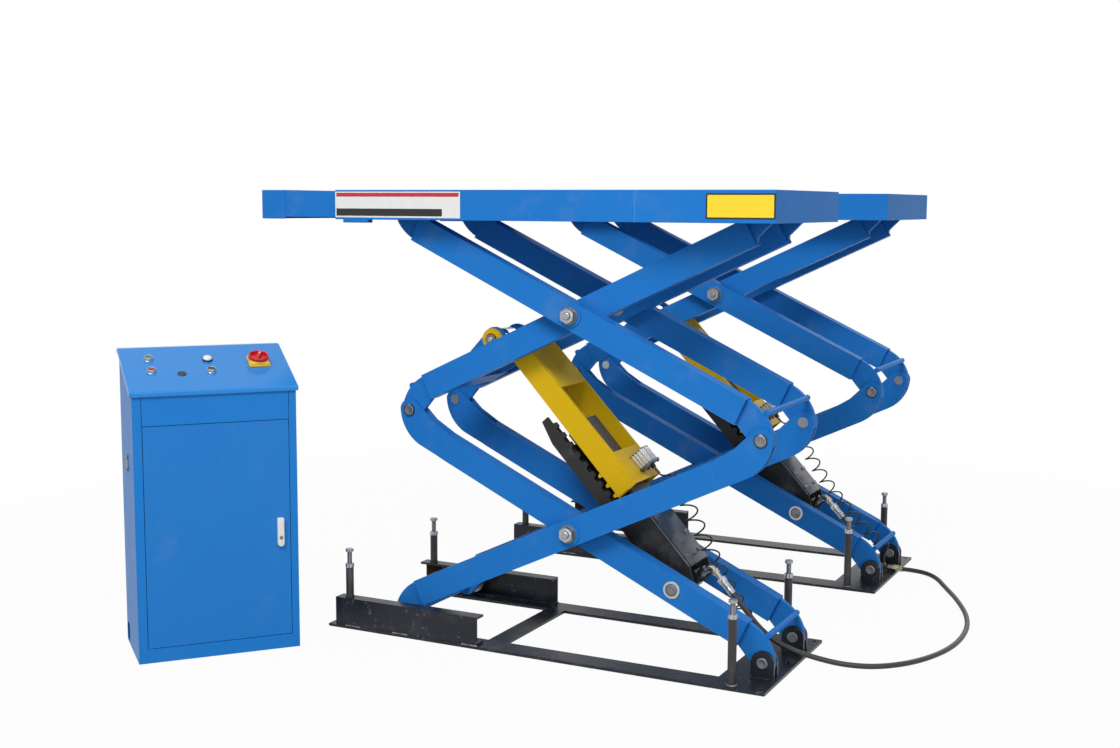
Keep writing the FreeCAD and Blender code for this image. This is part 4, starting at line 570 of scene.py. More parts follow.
hard = [node for node in frame["nodes"] if not node.endswith(SOFT)]
for node, thing in frame["nodes"].items():
    material = SLOT_MATERIAL[slot_of(node)]
    thing.data.materials.clear()
    thing.data.materials.append(material)
    if node in hard:
        round_edges(thing, edge_radius(node))
print("painted:", len(frame["nodes"]), "and rounded:", len(hard))

# %% [markdown]
# ## Tools for the small pieces
# Nuts, rings, beads and plates are all made in a few ways: a profile turned on a lathe, a block with
# rounded edges, a six-sided nut, or a bead of weld laid along a line. Each is made in millimetres in a
# frame of its own, and then set down in the model.

# %% A lathe, a block, a nut and a place to put them
HEAD, FOOT = (-1024.4, 978.6), (-312.0, 200.1)


def frame_at(origin, x_way, z_way):
    """A frame in millimetres that stands in the model. Its Y way follows from the other two."""
    x, z = Vector(x_way).normalized(), Vector(z_way).normalized()
    turn = Matrix((x, z.cross(x), z)).transposed().to_4x4()
    return Matrix.Translation(origin) @ turn @ Matrix.Scale(0.001, 4)


def side_frame(unit, x, z, side):
    """On a pivot: heights count from the unit's middle out to the near (-1) or far (1) side."""
    return frame_at(in_unit(unit, x, 0, z), (1, 0, 0), (0, side, 0))


def jack_frame(unit, origin):
    """Along the hydraulic cylinder: X runs down from its head to its foot, Z stands off its top."""
    x, z = FOOT[0] - HEAD[0], FOOT[1] - HEAD[1]
    return frame_at(in_unit(unit, origin[0], 0, origin[1]), (x, 0, z), (-z, 0, x))


def block(x, y, z, edge=0.0):
    """A block between pairs of limits, with its edges rounded."""
    shape = bmesh.new()
    bmesh.ops.create_cube(shape, size=1.0)
    bmesh.ops.scale(shape, verts=list(shape.verts), vec=(x[1] - x[0], y[1] - y[0], z[1] - z[0]))
    bmesh.ops.translate(shape, verts=list(shape.verts),
                        vec=((x[0] + x[1]) / 2, (y[0] + y[1]) / 2, (z[0] + z[1]) / 2))
    if edge:
        bmesh.ops.bevel(shape, geom=list(shape.edges), offset=edge, affect="EDGES", segments=2,
                        profile=0.5, material=-1)
    return shape


def turned(profile, steps=40):
    """Turns a profile of (radius, height) round the Z axis."""
    shape = bmesh.new()
    dots = [shape.verts.new((radius, 0, height)) for radius, height in profile]
    lines = [shape.edges.new(pair) for pair in zip(dots, dots[1:])]
    bmesh.ops.spin(shape, geom=dots + lines, cent=(0, 0, 0), axis=(0, 0, 1), angle=math.tau,
                   steps=steps, use_merge=True)
    bmesh.ops.remove_doubles(shape, verts=list(shape.verts), dist=0.001)
    bmesh.ops.recalc_face_normals(shape, faces=list(shape.faces))
    return shape


def ring(inner, outer, low, high, edge=0.6, steps=40):
    """A flat ring with a small chamfer outside."""
    return turned([(inner, low), (outer, low), (outer, high - edge), (outer - edge, high), (inner, high),
                   (inner, low)], steps)


def nut(flats, low, high):
    """A six-sided nut whose outer corners are cut back."""
    shape = bmesh.new()
    radius = flats / math.sqrt(3)
    bmesh.ops.create_cone(shape, cap_ends=True, segments=6, radius1=radius, radius2=radius,
                          depth=high - low)
    bmesh.ops.translate(shape, verts=list(shape.verts), vec=(0, 0, (low + high) / 2))
    top = [vertex for vertex in shape.verts if vertex.co.z > high - 0.01]
    bmesh.ops.bevel(shape, geom=top, offset=flats * 0.09, affect="VERTICES", segments=2, profile=0.5,
                    material=-1)
    return shape


def make(name, parts, material, body):
    """Sets shapes down in their frames as one piece that rides on a body."""
    whole = bmesh.new()
    for shape, place in parts:
        bmesh.ops.transform(shape, matrix=place, verts=list(shape.verts))
        if place.determinant() < 0:
            bmesh.ops.reverse_faces(shape, faces=list(shape.faces))
        passing = bpy.data.meshes.new("passing")
        shape.to_mesh(passing)
        shape.free()
        whole.from_mesh(passing)
        bpy.data.meshes.remove(passing)
    mesh = bpy.data.meshes.new(name)
    whole.to_mesh(mesh)
    whole.free()
    mesh.materials.append(material)
    for polygon in mesh.polygons:
        polygon.use_smooth = True
    mesh.set_sharp_from_angle(angle=SHARP)
    thing = bpy.data.objects.new(name, mesh)
    bpy.context.scene.collection.objects.link(thing)
    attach(thing, body)
    return thing


print("the cylinder leans", round(math.degrees(math.atan2(HEAD[1] - FOOT[1], FOOT[0] - HEAD[0])), 1), "degrees")

# %% [markdown]
# ## Pin ends
# A plain pin is held by a snap ring in a groove: a sprung steel ring, open on one side, dark from its
# heat treatment. Its near-black colour is also painted shade of the groove round the pin. The pin's end is
# turned, with a chamfer and the little hole of the lathe's centre.

# %% Snap rings and turned pin ends
TURNED_STEEL = plated("turned_steel", rgb(0.22, 0.23, 0.245), 0.46, 0.5)
# Near-black steel for screws, bolts and snap rings, and also painted shade in the gaps round nuts and shafts.
DARK_STEEL_AND_SHADE = plated("dark_steel_and_shade", rgb(0.045, 0.045, 0.050), 0.40, 0.3)
PIN = 18.0
RING_HALF, RING_IN, RING_OUT, RING_TURN, RING_START = 1.2, 2.2, 3.6, 322, 109
MID_LEFT, MID_RIGHT, TOP_RIGHT = (-1314.5, 722.6), (0.0, 722.6), (0.0, 1445.3)


def snap_ring(radius, middle):
    """A sprung ring, open on one side, in its groove at this height."""
    shape = bmesh.new()
    corners = [(radius - RING_IN, middle - RING_HALF), (radius + RING_OUT, middle - RING_HALF),
               (radius + RING_OUT, middle + RING_HALF), (radius - RING_IN, middle + RING_HALF)]
    face = shape.faces.new([shape.verts.new((r, 0, h)) for r, h in corners])
    bmesh.ops.spin(shape, geom=list(face.verts) + list(face.edges), cent=(0, 0, 0), axis=(0, 0, 1),
                   angle=math.radians(RING_TURN), steps=36)
    rims = [edge for edge in shape.edges if edge.is_boundary]
    bmesh.ops.holes_fill(shape, edges=rims)
    bmesh.ops.recalc_face_normals(shape, faces=list(shape.faces))
    bmesh.ops.rotate(shape, verts=list(shape.verts), cent=(0, 0, 0),
                     matrix=Matrix.Rotation(math.radians(RING_START), 3, "Z"))
    return shape


def pin_end(face, radius=PIN):
    """The last millimetres of a pin: chamfer, flat, a shallow turned step and the centre hole."""
    return turned([(0.0, face - 2.4), (2.2, face + 0.3), (radius * 0.55, face + 0.3),
                   (radius * 0.60, face + 0.7), (radius - 2.2, face + 0.7), (radius + 0.15, face - 1.2),
                   (radius + 0.15, face - 4.0)])


def pin_level(node):
    """How far a unit's pins reach from its middle, in millimetres."""
    low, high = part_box(node)
    return (high[1] - low[1]) * 500


INNER_PIN, OUTER_PIN = pin_level("front_platform_pins"), pin_level("front_mid_right_pins")
GROOVE_BACK = 1.9
PLAIN_PINS = [("lower_inner", MID_LEFT, INNER_PIN, "lower_arm_pins"),
              ("lower_outer", MID_RIGHT, OUTER_PIN, "mid_right_pins"),
              ("deck", TOP_RIGHT, INNER_PIN, "platform_pins")]
for unit in UNITS:
    for body, (x, z), level, node in PLAIN_PINS:
        frames = [side_frame(unit, x, z, side) for side in (-1, 1)]
        # the snap rings are near black, which is partly painted shade of the groove round each pin
        rings = [(snap_ring(PIN, level - GROOVE_BACK), place) for place in frames]
        make(unit + "_" + node + "_snap_rings", rings, DARK_STEEL_AND_SHADE, unit + "_" + body)
        ends = [(pin_end(level), place) for place in frames]
        make(unit + "_" + node + "_ends", ends, TURNED_STEEL, unit + "_" + body)
    ends = [(pin_end(INNER_PIN), side_frame(unit, 0, 0, side)) for side in (-1, 1)]
    make(unit + "_base_pin_ends", ends, TURNED_STEEL, "floor")
print("pins reach", round(INNER_PIN, 1), "and", round(OUTER_PIN, 1), "mm from the middle")

# %% [markdown]
# ## Centre pivots and cylinder feet
# The arms cross on a headed pin with a washer and a nut outside. The washer is bright zinc, the nut
# duller, and the end of the thread stands a little out of it. The cylinder's foot shaft has a thick pale
# ring and a machined end, and a near-black ring between them is painted shade of the gap.

# %% Washers, nuts and thread ends
WASHER = plated("bright_washer", rgb(0.50, 0.51, 0.53), 0.26, 0.35)
NUT_STEEL = plated("nut_steel", rgb(0.20, 0.21, 0.225), 0.34, 0.5)
LOWER_CENTRE, UPPER_CENTRE = (-657.2, 361.3), (-657.2, 1083.9)
BOSS_FACE, FOOT_FACE = 246.3, 182.2
RIDGE_DEEP, PITCH, PITCH_STEPS = 0.9, 2.0, 24


def thread(radius, low, high):
    """A real screw thread: a small ridge spun upwards."""
    shape = bmesh.new()
    ridge = ((radius - RIDGE_DEEP, 0), (radius, PITCH / 2), (radius - RIDGE_DEEP, PITCH))
    dots = [shape.verts.new((r, 0, low + h)) for r, h in ridge]
    lines = [shape.edges.new(pair) for pair in zip(dots, dots[1:])]
    turns = int((high - low) / PITCH) - 1
    bmesh.ops.spin(shape, geom=dots + lines, cent=(0, 0, 0), axis=(0, 0, 1), angle=math.tau * turns,
                   dvec=(0, 0, PITCH / PITCH_STEPS), steps=turns * PITCH_STEPS)
    bmesh.ops.remove_doubles(shape, verts=list(shape.verts), dist=0.01)
    bmesh.ops.recalc_face_normals(shape, faces=list(shape.faces))
    return shape


def stud_end(radius, low, high):
    """The end of a thread, with a chamfer and a centre hole."""
    return turned([(0.0, high - 1.5), (1.8, high + 0.3), (radius - 2.0, high + 0.3),
                   (radius + 0.1, high - 1.2), (radius + 0.1, low)], 32)


def centre_pivot(unit, body, centre):
    """What holds an arms' crossing on both sides: washer, nut, collar, thread and its end."""
    frames = [side_frame(unit, *centre, side) for side in (-1, 1)]
    face = BOSS_FACE
    pieces = [("washers", NUT_STEEL, ring, (12.3, 30.3, face, face + 3.3, 0.9)),
              ("nuts", ZINC, nut, (46.4, face + 3.4, face + 20.0)),
              ("collars", WASHER, ring, (13.6, 21.5, face + 19.8, face + 22.0, 1.6)),
              ("threads", NUT_STEEL, thread, (13.2, face + 20.0, face + 28.0)),
              ("stud_ends", ZINC, stud_end, (12.4, face + 19.0, face + 28.0))]
    for piece, material, shape_of, sizes in pieces:
        make(unit + "_" + body + "_pivot_" + piece, [(shape_of(*sizes), place) for place in frames], material,
             unit + "_" + body)


def cylinder_foot(unit):
    """The pale ring, the turned end of the shaft that carries the cylinder, and a near-black ring between them
    that is painted shade of the gap.
    """
    body = unit + "_lower_inner"
    frames = [side_frame(unit, *FOOT, side) for side in (-1, 1)]
    rings = [(ring(20.5, 29.4, FOOT_FACE, 186.0, 1.0), place) for place in frames]
    make(unit + "_foot_rings", rings, WASHER, body)
    # a near-black ring between the shaft and the pale ring: painted shade of the gap
    gaps = [(ring(17.0, 20.6, FOOT_FACE, 185.5, 0.1), place) for place in frames]
    make(unit + "_foot_gap_shade", gaps, DARK_STEEL_AND_SHADE, body)
    ends = [(pin_end(185.4, 17.0), place) for place in frames]
    make(unit + "_foot_shaft_ends", ends, NUT_STEEL, body)


for unit in UNITS:
    centre_pivot(unit, "lower_inner", LOWER_CENTRE)
    centre_pivot(unit, "upper_inner", UPPER_CENTRE)
    cylinder_foot(unit)
print("centre pivots have washers 61 mm and nuts 46 mm across, and the threads stand 28 mm out")

# %% [markdown]
# ## Levelling bolts
# A long bolt stands in each corner post. Its thread shows between the lock nut and the head. The posts
# are cut from rough tube, so a sleeve with a coarse black skin covers each.

# %% Threads, heads and posts
ROUGH_BLACK = paint("rough_black", rgb(0.020, 0.020, 0.022), rgb(0.042, 0.041, 0.042), 0.36, 1.0, 4.0,
                    0.16, shine=0.4)
HEAD_LOW, HEAD_TOP = 275.0, 285.0
RIGHT_POST, RIGHT_LOW, RIGHT_TOP = (-65.0, 282.0), 10.0, 224.0
LEFT_POST, LEFT_LOW, LEFT_TOP = (-1504.0, 284.0), 110.0, 218.0


def upright(unit, x, y):
    """A frame that stands on the floor."""
    return frame_at(in_unit(unit, x, y, -60.0), (1, 0, 0), (0, 0, 1))


threads, heads, locks, sleeves, collars = [], [], [], [], []
for unit in UNITS:
    for (x, y), low, top in ((RIGHT_POST, RIGHT_LOW, RIGHT_TOP), (LEFT_POST, LEFT_LOW, LEFT_TOP)):
        for side in (-1, 1):
            place = upright(unit, x, y * side)
            threads.append((thread(8.7, top + 13.0, HEAD_LOW + 1.5), place))
            heads.append((nut(24.6, HEAD_LOW - 0.2, HEAD_TOP + 0.3), place))
            collars.append((ring(8.0, 11.4, HEAD_LOW - 1.0, HEAD_LOW, 0.2, 24), place))
            locks.append((nut(26.6, top + 0.2, top + 14.6), place))
            sleeves.append((ring(10.0, 13.9, low, top + 0.1, 0.8, 32), place))
make("levelling_bolt_threads", threads, NUT_STEEL, "floor")
make("levelling_bolt_heads", heads + collars, ZINC, "floor")
make("levelling_lock_nuts", locks, WASHER, "floor")
make("post_sleeves", sleeves, ROUGH_BLACK, "floor")
print("levelling bolts:", len(threads))

# %% [markdown]
# ## Weld beads
# Every joint of plate and tube is a weld: a lumpy ridge that follows the seam. A row of close points with
# a rising and falling radius gives a curve the look of a bead laid in small steps. Painted beads are blue
# or black like the steel, and a few on the floor frames were welded after painting and are bare.

# %% Lay the beads
BARE_WELD = plated("bare_weld", rgb(0.34, 0.33, 0.31), 0.42, 0.7, 0.85)


def bead_points(ends, step=2.6):
    """Close points along a broken line."""
    points = []
    for start, stop in zip(ends, ends[1:]):
        count = max(2, int((stop - start).length / step))
        points += [start.lerp(stop, index / count) for index in range(count)]
    return points + [ends[-1]]


def circle_points(radius, height, count):
    """Points round a circle at this height, the last where the first is."""
    return [Vector((radius * math.cos(math.tau * i / count), radius * math.sin(math.tau * i / count), height))
            for i in range(count + 1)]


def weld(name, lines, thick, material, body):
    """Lays beads along lines given as (points in millimetres, frame)."""
    curve = bpy.data.curves.new(name, "CURVE")
    curve.dimensions, curve.use_fill_caps = "3D", True
    curve.bevel_depth, curve.bevel_resolution = thick / 1000, 1
    for points, place in lines:
        spline = curve.splines.new("POLY")
        spline.points.add(len(points) - 1)
        for index, (dot, point) in enumerate(zip(spline.points, points)):
            dot.co = (*(place @ point), 1.0)
            dot.radius = 0.80 + 0.28 * math.sin(index * 1.9) + 0.10 * math.sin(index * 0.37 + 1.0)
    line = bpy.data.objects.new(name + "_line", curve)
    mesh = bpy.data.meshes.new_from_object(line)
    bpy.data.objects.remove(line)
    mesh.name = name
    mesh.materials.clear()
    mesh.materials.append(material)
    for polygon in mesh.polygons:
        polygon.use_smooth = True
    thing = bpy.data.objects.new(name, mesh)
    bpy.context.scene.collection.objects.link(thing)
    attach(thing, body)


ARM_LEAN, ARM_HALF = math.radians(28.8), 750.0


def arm_frame(unit, centre, hand):
    """Along an arm, from its centre: X to its right end, Z off its upper edge. Hand 1 rises to the left."""
    c, s = math.cos(ARM_LEAN), math.sin(ARM_LEAN) * hand
    return frame_at(in_unit(unit, centre[0], 0, centre[1]), (c, 0, -s), (s, 0, c))


# From an arm's pin: where its fork plates and tongues leave the tube, and how the tube lies there
FORK_END, TONGUE_END, TUBE_HALF = 184.0, 100.0, 45.1
TUBE_TAN = math.tan(math.radians(3.6))


def seam(hand, end, kind, level):
    """The seam across an arm's side where its end plate is welded on."""
    reach = FORK_END if kind == "fork" else TONGUE_END
    x = -hand * end * (ARM_HALF - reach)
    axis = (reach - ARM_HALF) * TUBE_TAN
    low, high = end * (axis - TUBE_HALF + 2), end * (axis + TUBE_HALF - 2)
    return bead_points([Vector((x, level, low)), Vector((x, level, high))])


INNER_FACES, OUTER_FACES = (132.0, 182.0), (192.0, 242.0)
ARMS = [("lower_inner", LOWER_CENTRE, 1, INNER_FACES, {1: "fork", -1: "tongue"}),
        ("lower_outer", LOWER_CENTRE, -1, OUTER_FACES, {1: "fork", -1: "tongue"}),
        ("upper_inner", UPPER_CENTRE, -1, INNER_FACES, {1: "tongue", -1: "tongue"}),
        ("upper_outer", UPPER_CENTRE, 1, OUTER_FACES, {1: "tongue", -1: "tongue"})]
for unit in UNITS:
    for body, centre, hand, faces, ends in ARMS:
        place = arm_frame(unit, centre, hand)
        lines = []
        for side in (-1, 1):
            for end, kind in ends.items():
                inset = 2.0 if kind == "fork" else 16.0
                for level in (faces[0] + inset, faces[1] - inset):
                    lines.append((seam(hand, end, kind, side * level), place))
        weld(unit + "_" + body + "_beads", lines, 2.2, BLUE, unit + "_" + body)
print("beads on", len(ARMS) * 2, "arm pairs")


def around(x, y, radius, height):
    """A bead round the foot of a post, in the frame of the floor."""
    return [point + Vector((x, y, 0)) for point in circle_points(radius, height, 36)]


EAR_MIDDLE, EAR_HALF, RAIL_SIDE, BEAD_LOW = 157.0, 24.5, 307.5, 11.0
black_lines, bare_lines = [], []
for unit in UNITS:
    floor_frame = upright(unit, 0, 0)
    for side in (-1, 1):
        bare_lines.append((around(RIGHT_POST[0], RIGHT_POST[1] * side, 15.0, 11.5), floor_frame))
        black_lines.append((around(LEFT_POST[0], LEFT_POST[1] * side, 14.6, 110.8), floor_frame))
        for y in (side * (EAR_MIDDLE - EAR_HALF), side * (EAR_MIDDLE + EAR_HALF)):
            ends = [Vector((-38, y, BEAD_LOW)), Vector((38, y, BEAD_LOW))]
            black_lines.append((bead_points(ends), floor_frame))
        y = side * RAIL_SIDE
        for start in (-1508, -1310, -1030):
            ends = [Vector((start, y, BEAD_LOW)), Vector((start + 62, y, BEAD_LOW))]
            bare_lines.append((bead_points(ends), floor_frame))
        ends = [Vector((-1540, y, BEAD_LOW - 0.4)), Vector((-975, y, BEAD_LOW - 0.4))]
        black_lines.append((bead_points(ends), floor_frame))
weld("frame_beads", black_lines, 2.6, BLACK, "floor")
weld("bare_frame_beads", bare_lines, 3.2, BARE_WELD, "floor")
feet = [(circle_points(14.6, 10.6, 40), upright(unit, RIGHT_POST[0], RIGHT_POST[1] * side))
        for unit in UNITS for side in (-1, 1)]
weld("post_foot_welds", feet, 2.4, BARE_WELD, "floor")
print("beads on the floor frames:", len(black_lines) + len(bare_lines))

# %% [markdown]
# ## Pressure fitting
# Oil enters each cylinder through a bent steel pipe: a nut on the port, a plated elbow, a union nut in
# yellow zinc, and the ferrule crimped on the hose. The pipe is a short thick tube that turns a quarter, and
# the ferrule a turned sleeve with two long crimps.

# %% Elbows and ferrules
PORT_ALONG, ELBOW_UP, ELBOW_THICK = 9.0, 81.0, 0.0176
ELBOW = [(PORT_ALONG, 0.0, 44.0), (PORT_ALONG, 0.0, 66.0), (12.0, 0.0, ELBOW_UP), (28.0, 0.0, ELBOW_UP),
         (80.0, 0.0, ELBOW_UP)]


def elbow_pipe(unit):
    """The bent pipe from the port to the ferrule."""
    place = jack_frame(unit, FOOT)
    line = spline_through(unit + "_elbow_line", [place @ Vector(point) for point in ELBOW], 16)
    pipe, _ = tube_along(unit + "_elbow_pipe", line, ELBOW_THICK, 4)
    pipe.data.materials.append(ZINC)
    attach(pipe, unit + "_cylinder")


def crimped(low, high):
    """A sleeve with two long crimps."""
    profile = [(9.4, low), (12.2, low + 0.6)]
    for start in (low + 4.0, low + 23.0):
        profile += [(12.5, start), (12.5, start + 16.0), (12.0, start + 16.6), (12.0, start + 18.2)]
    return turned(profile + [(12.6, high - 1.5), (12.2, high - 0.4), (9.2, high + 0.2), (8.0, low)], 32)


for unit in UNITS:
    elbow_pipe(unit)
    base = jack_frame(unit, FOOT)
    along = base @ Matrix.Translation((0, 0, ELBOW_UP)) @ Matrix.Rotation(math.radians(90), 4, "Y")
    port = base @ Matrix.Translation((PORT_ALONG, 0, 0))
    body = unit + "_cylinder"
    port_nut = [(nut(29.0, 47.8, 60.0), port), (ring(9, 14.5, 38.0, 48.0, 0.6, 32), port)]
    make(unit + "_port_nut", port_nut, NUT_STEEL, body)
    make(unit + "_union_nut", [(nut(23.0, 27.0, 44.0), along)], BRASS, body)
    ferrule = [(nut(26.6, 61.8, 80.2), along), (crimped(80.0, 126.0), along)]
    make(unit + "_ferrule", ferrule, ZINC, body)
print("each elbow turns a quarter and ends 125 mm from the foot")

# %% [markdown]
# ## Rack housing
# Two side plates, toothed racks and a cover hide each cylinder. The cover is folded from thinner sheet and
# has short cross tabs, and it runs on under the latch as a narrow shield over the barrel. A sheet on the cover
# and its tabs are dark steel with a bluish tint that is a painted reflection of the sky, and lighter strips
# along the side plates' rims are painted highlights. The racks are flame cut, so their faces keep a rough skin.

# %% Cover, tabs and shield
# Dark steel with a bluish tint that is a painted reflection of the sky, for the cover sheet and its tabs.
COVER_STEEL_AND_REFLECTION = paint("cover_steel_and_reflection", rgb(0.024, 0.036, 0.056), rgb(0.042, 0.058, 0.082), 0.26, 0.3, 0.6,
                    0.10, shine=0.5)
# A lighter grey for strips along the side plates' rims: painted highlights.
RIM_HIGHLIGHT = paint("rim_highlight", rgb(0.10, 0.105, 0.115), rgb(0.16, 0.165, 0.175), 0.34, 0.3, 0.6, 0.10,
                  shine=0.5)
SHIELD_STEEL = paint("shield_steel", rgb(0.040, 0.046, 0.054), rgb(0.060, 0.066, 0.074), 0.40, 0.4, 1.0,
                     0.14, shine=0.4)
CAST_BLACK = paint("cast_black", rgb(0.007, 0.007, 0.008), rgb(0.020, 0.019, 0.019), 0.44, 1.2, 5.0,
                   0.16, shine=0.35)
TAB_PLACES, SHIELD_LONG = (-292, -214, -136, -62), (-648, -331)


def housing_pieces(unit):
    """The cover sheet and the cross tabs with a painted reflection of the sky, painted highlights along the
    rims of the side plates, and the shield over the barrel.
    """
    place, body = jack_frame(unit, FOOT), unit + "_cylinder"
    # a sheet on the cover that carries the bluish painted reflection of the sky
    panel = block((-328, -27), (-77.0, 77.0), (55.4, 61.0), 0.8)
    make(unit + "_cover_reflection_panel", [(panel, place)], COVER_STEEL_AND_REFLECTION, body)
    # lighter strips along the side plates' upper rims: painted highlights
    rims = [block((-318, -30), (side * 82 - 4.4, side * 82 + 4.4), (54.0, 56.8), 0.8) for side in (-1, 1)]
    make(unit + "_housing_rim_highlights", [(rim, place) for rim in rims], RIM_HIGHLIGHT, body)
    tabs = [block((x - 7, x + 7), y, (60.0, 63.4), 1.2)
            for x in TAB_PLACES for y in ((-77.0, -38.5), (38.5, 77.0))]
    make(unit + "_cover_tabs", [(tab, place) for tab in tabs], COVER_STEEL_AND_REFLECTION, body)
    shield = [block(SHIELD_LONG, (-72, 72), (50.5, 54.5), 1.0)]
    shield += [block(SHIELD_LONG, y, (38.0, 52.0), 1.0) for y in ((-72, -68), (68, 72))]
    shield += [block((x - 8, x + 8), (-24, 24), (30.0, 51.0)) for x in (-600, -420)]
    make(unit + "_barrel_shield", [(part, place) for part in shield], SHIELD_STEEL, body)


for unit in UNITS:
    housing_pieces(unit)
    frame["nodes"][unit + "_latch_rack"].material_slots[0].material = CAST_BLACK
print("cross tabs on each cover:", 2 * len(TAB_PLACES))

# %% [markdown]
# ## Latch
# The latch turns on the head pin, which shows as a nut and washer inside the yellow collar; the washer is a
# near-black disc, and its dark colour is painted shade of the gap round the nut. Its plates are flame cut and
# welded to the covers, so beads run along the inside corners. On the lower cover sits a small air cylinder
# with ribs along its aluminium body, dark end plates and four screws. A yellow strip runs along the inside of
# the far plate and shows through the window between the covers.

# %% Head nut and air cylinder
AIR_LOW, AIR_LEFT, AIR_RIGHT = 101.3, 615.0, 677.0


def head_pieces(unit, body):
    """The collar, nut, stud end and washer of the head pin, on both sides. The washer is near black: painted
    shade of the gap round the nut.
    """
    frames = [side_frame(unit, *HEAD, side) for side in (-1, 1)]
    collars = [(ring(17.0, 25.4, 107.6, 109.6, 1.4), place) for place in frames]
    make(unit + "_head_collars", collars, YELLOW, body)
    # a near-black disc under the nut: painted shade of the gap between nut and collar
    gaps = [(ring(8.0, 21.8, 107.7, 109.8, 0.1), place) for place in frames]
    make(unit + "_head_gap_shade", gaps, DARK_STEEL_AND_SHADE, body)
    nuts = [(nut(33.0, 109.5, 116.0), place) for place in frames]
    make(unit + "_head_nuts", nuts, NUT_STEEL, body)
    studs = [(stud_end(9.0, 113.0, 119.0), place) for place in frames]
    make(unit + "_head_studs", studs, ZINC, body)


def air_cylinder_pieces(unit, body, place):
    """Ribs, end plates, screws and the hose fitting of the air cylinder."""
    long = (AIR_LEFT + 1, AIR_RIGHT - 9)
    ribs = [block(long, (y - 2.4, y + 2.4), (156.6, 159.8), 0.6) for y in (-20.5, -7.0, 7.0, 20.5)]
    ribs += [block(long, (side * 25 - 2.2, side * 25 + 2.2), (z - 3.2, z + 3.2), 0.8)
             for side in (-1, 1) for z in (110, 122, 136, 149)]
    make(unit + "_air_ribs", [(part, place) for part in ribs], ALUMINIUM, body)
    ends = [block((AIR_RIGHT - 8.4, AIR_RIGHT + 0.6), (-30, 30), (AIR_LOW + 2, 163), 1.6),
            block((AIR_LEFT - 1.2, AIR_LEFT + 5), (-26, 26), (AIR_LOW + 0.5, 158.5), 1.2)]
    make(unit + "_air_end_plates", [(part, place) for part in ends], NUT_STEEL, body)
    right = Matrix.Rotation(math.radians(90), 4, "Y")
    head = [(0, 2.2), (2.0, 2.2), (2.0, 4.6), (4.4, 4.4), (4.8, 3.4), (4.8, -1)]
    screws = [(turned(head, 20), place @ Matrix.Translation((AIR_RIGHT, y, z)) @ right)
              for y in (-23.5, 23.5) for z in (110.0, 155.5)]
    make(unit + "_air_screws", screws, DARK_STEEL_AND_SHADE, body)
    port = place @ Matrix.Translation((AIR_RIGHT, 23.0, 129.3)) @ right
    fitting = [(nut(15.6, 0.0, 8.0), port), (ring(3.2, 7.4, 7.8, 14.4, 1.6, 24), port)]
    make(unit + "_air_fitting", fitting, DARK_STEEL_AND_SHADE, body)


def latch_pieces(unit):
    """All that is added to one latch."""
    body, place = unit + "_latch", jack_frame(unit, HEAD)
    head_pieces(unit, body)
    air_cylinder_pieces(unit, body, place)
    strip = block((236, 578), (88.4, 93.4), (-5.4, 16.0), 0.6)
    make(unit + "_latch_strip", [(strip, place)], YELLOW, body)
    corners = []
    for side in (-1, 1):
        for start, stop, z in ((122, 288, 90.8), (577, 704, 99.4)):
            ends = [Vector((start, side * 92.6, z)), Vector((stop, side * 92.6, z + (stop - start) * 0.0183))]
            corners.append((bead_points(ends), place))
    weld(unit + "_latch_beads", corners, 2.0, YELLOW, body)


for unit in UNITS:
    latch_pieces(unit)
print("air cylinder body", AIR_RIGHT - AIR_LEFT, "mm long")

# %% [markdown]
# ## Cabinet controls
# Three pushbuttons stand in tall chromed collars, their caps nearly level with the rim. The pilot lamp is
# a milky dome on a black ring, and the buzzer a flat slotted disc. The main switch has a yellow square
# with a round yellow housing and a wide red ring with a grip across it.

# %% Collars, lamp, buzzer and switch
CABINET_PLACE = Matrix.Translation((-1.103, -1.6246, 0.0)) @ Matrix.Rotation(math.radians(50), 4, "Z")
IN_CABINET = CABINET_PLACE @ Matrix.Scale(0.001, 4)
SLOPE, LID_FRONT, LID_LOW = math.atan2(115.0, 295.0), -8.0, 898.0


def on_slope(along, up):
    """On the cabinet's sloped lid: from its left side, and up the slope from its front edge."""
    lean = Matrix.Rotation(SLOPE, 4, "X")
    spot = Vector((along, up * math.cos(SLOPE) + LID_FRONT, up * math.sin(SLOPE) + LID_LOW)) / 1000
    return CABINET_PLACE @ Matrix.Translation(spot) @ lean @ Matrix.Scale(0.001, 4)


GREEN_SPOT, RED_SPOT, BLACK_SPOT = (82, 226), (80, 138), (273, 126)
BUZZER_SPOT, LAMP_SPOT, SWITCH_SPOT = (176, 116), (274, 210), (440, 178)
COLLAR = [(11.5, 0.3), (16.4, 0.3), (16.4, 2.2), (15.2, 3.2), (15.2, 10.6), (14.2, 12.4), (12.6, 13.0),
          (11.5, 12.2), (11.5, 0.3)]
tall = [(turned(COLLAR, 48), on_slope(*spot)) for spot in (GREEN_SPOT, RED_SPOT, BLACK_SPOT)]
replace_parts(make("button_collars", tall, WASHER, "floor"), "control_collars")
lamp = turned([(0, 15.0), (6, 14.6), (11, 13.2), (14.2, 10.4), (15.4, 7.2), (15.4, 5.0), (0, 5.0)], 48)
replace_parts(make("lamp_dome", [(lamp, on_slope(*LAMP_SPOT))], WHITE, "floor"), "signal_lamp")
lamp_ring = turned([(0, 0.3), (17.6, 0.3), (17.6, 4.6), (16.6, 6.2), (15.0, 6.4), (15.0, 4.0), (0, 4.0)], 48)
make("lamp_ring", [(lamp_ring, on_slope(*LAMP_SPOT))], BLACK_PLASTIC, "floor")
BUZZER = [(0, 0.3), (15.0, 0.3), (15.0, 2.0), (14.0, 3.2), (11.4, 3.2), (10.8, 2.4), (8.4, 2.4), (7.8, 3.2),
          (4.8, 3.2), (4.2, 2.4), (0, 2.4)]
buzzer = make("buzzer_disc", [(turned(BUZZER, 48), on_slope(*BUZZER_SPOT))], BLACK_PLASTIC, "floor")
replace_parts(buzzer, "buzzer")
GRIP_TURN = math.radians(68)


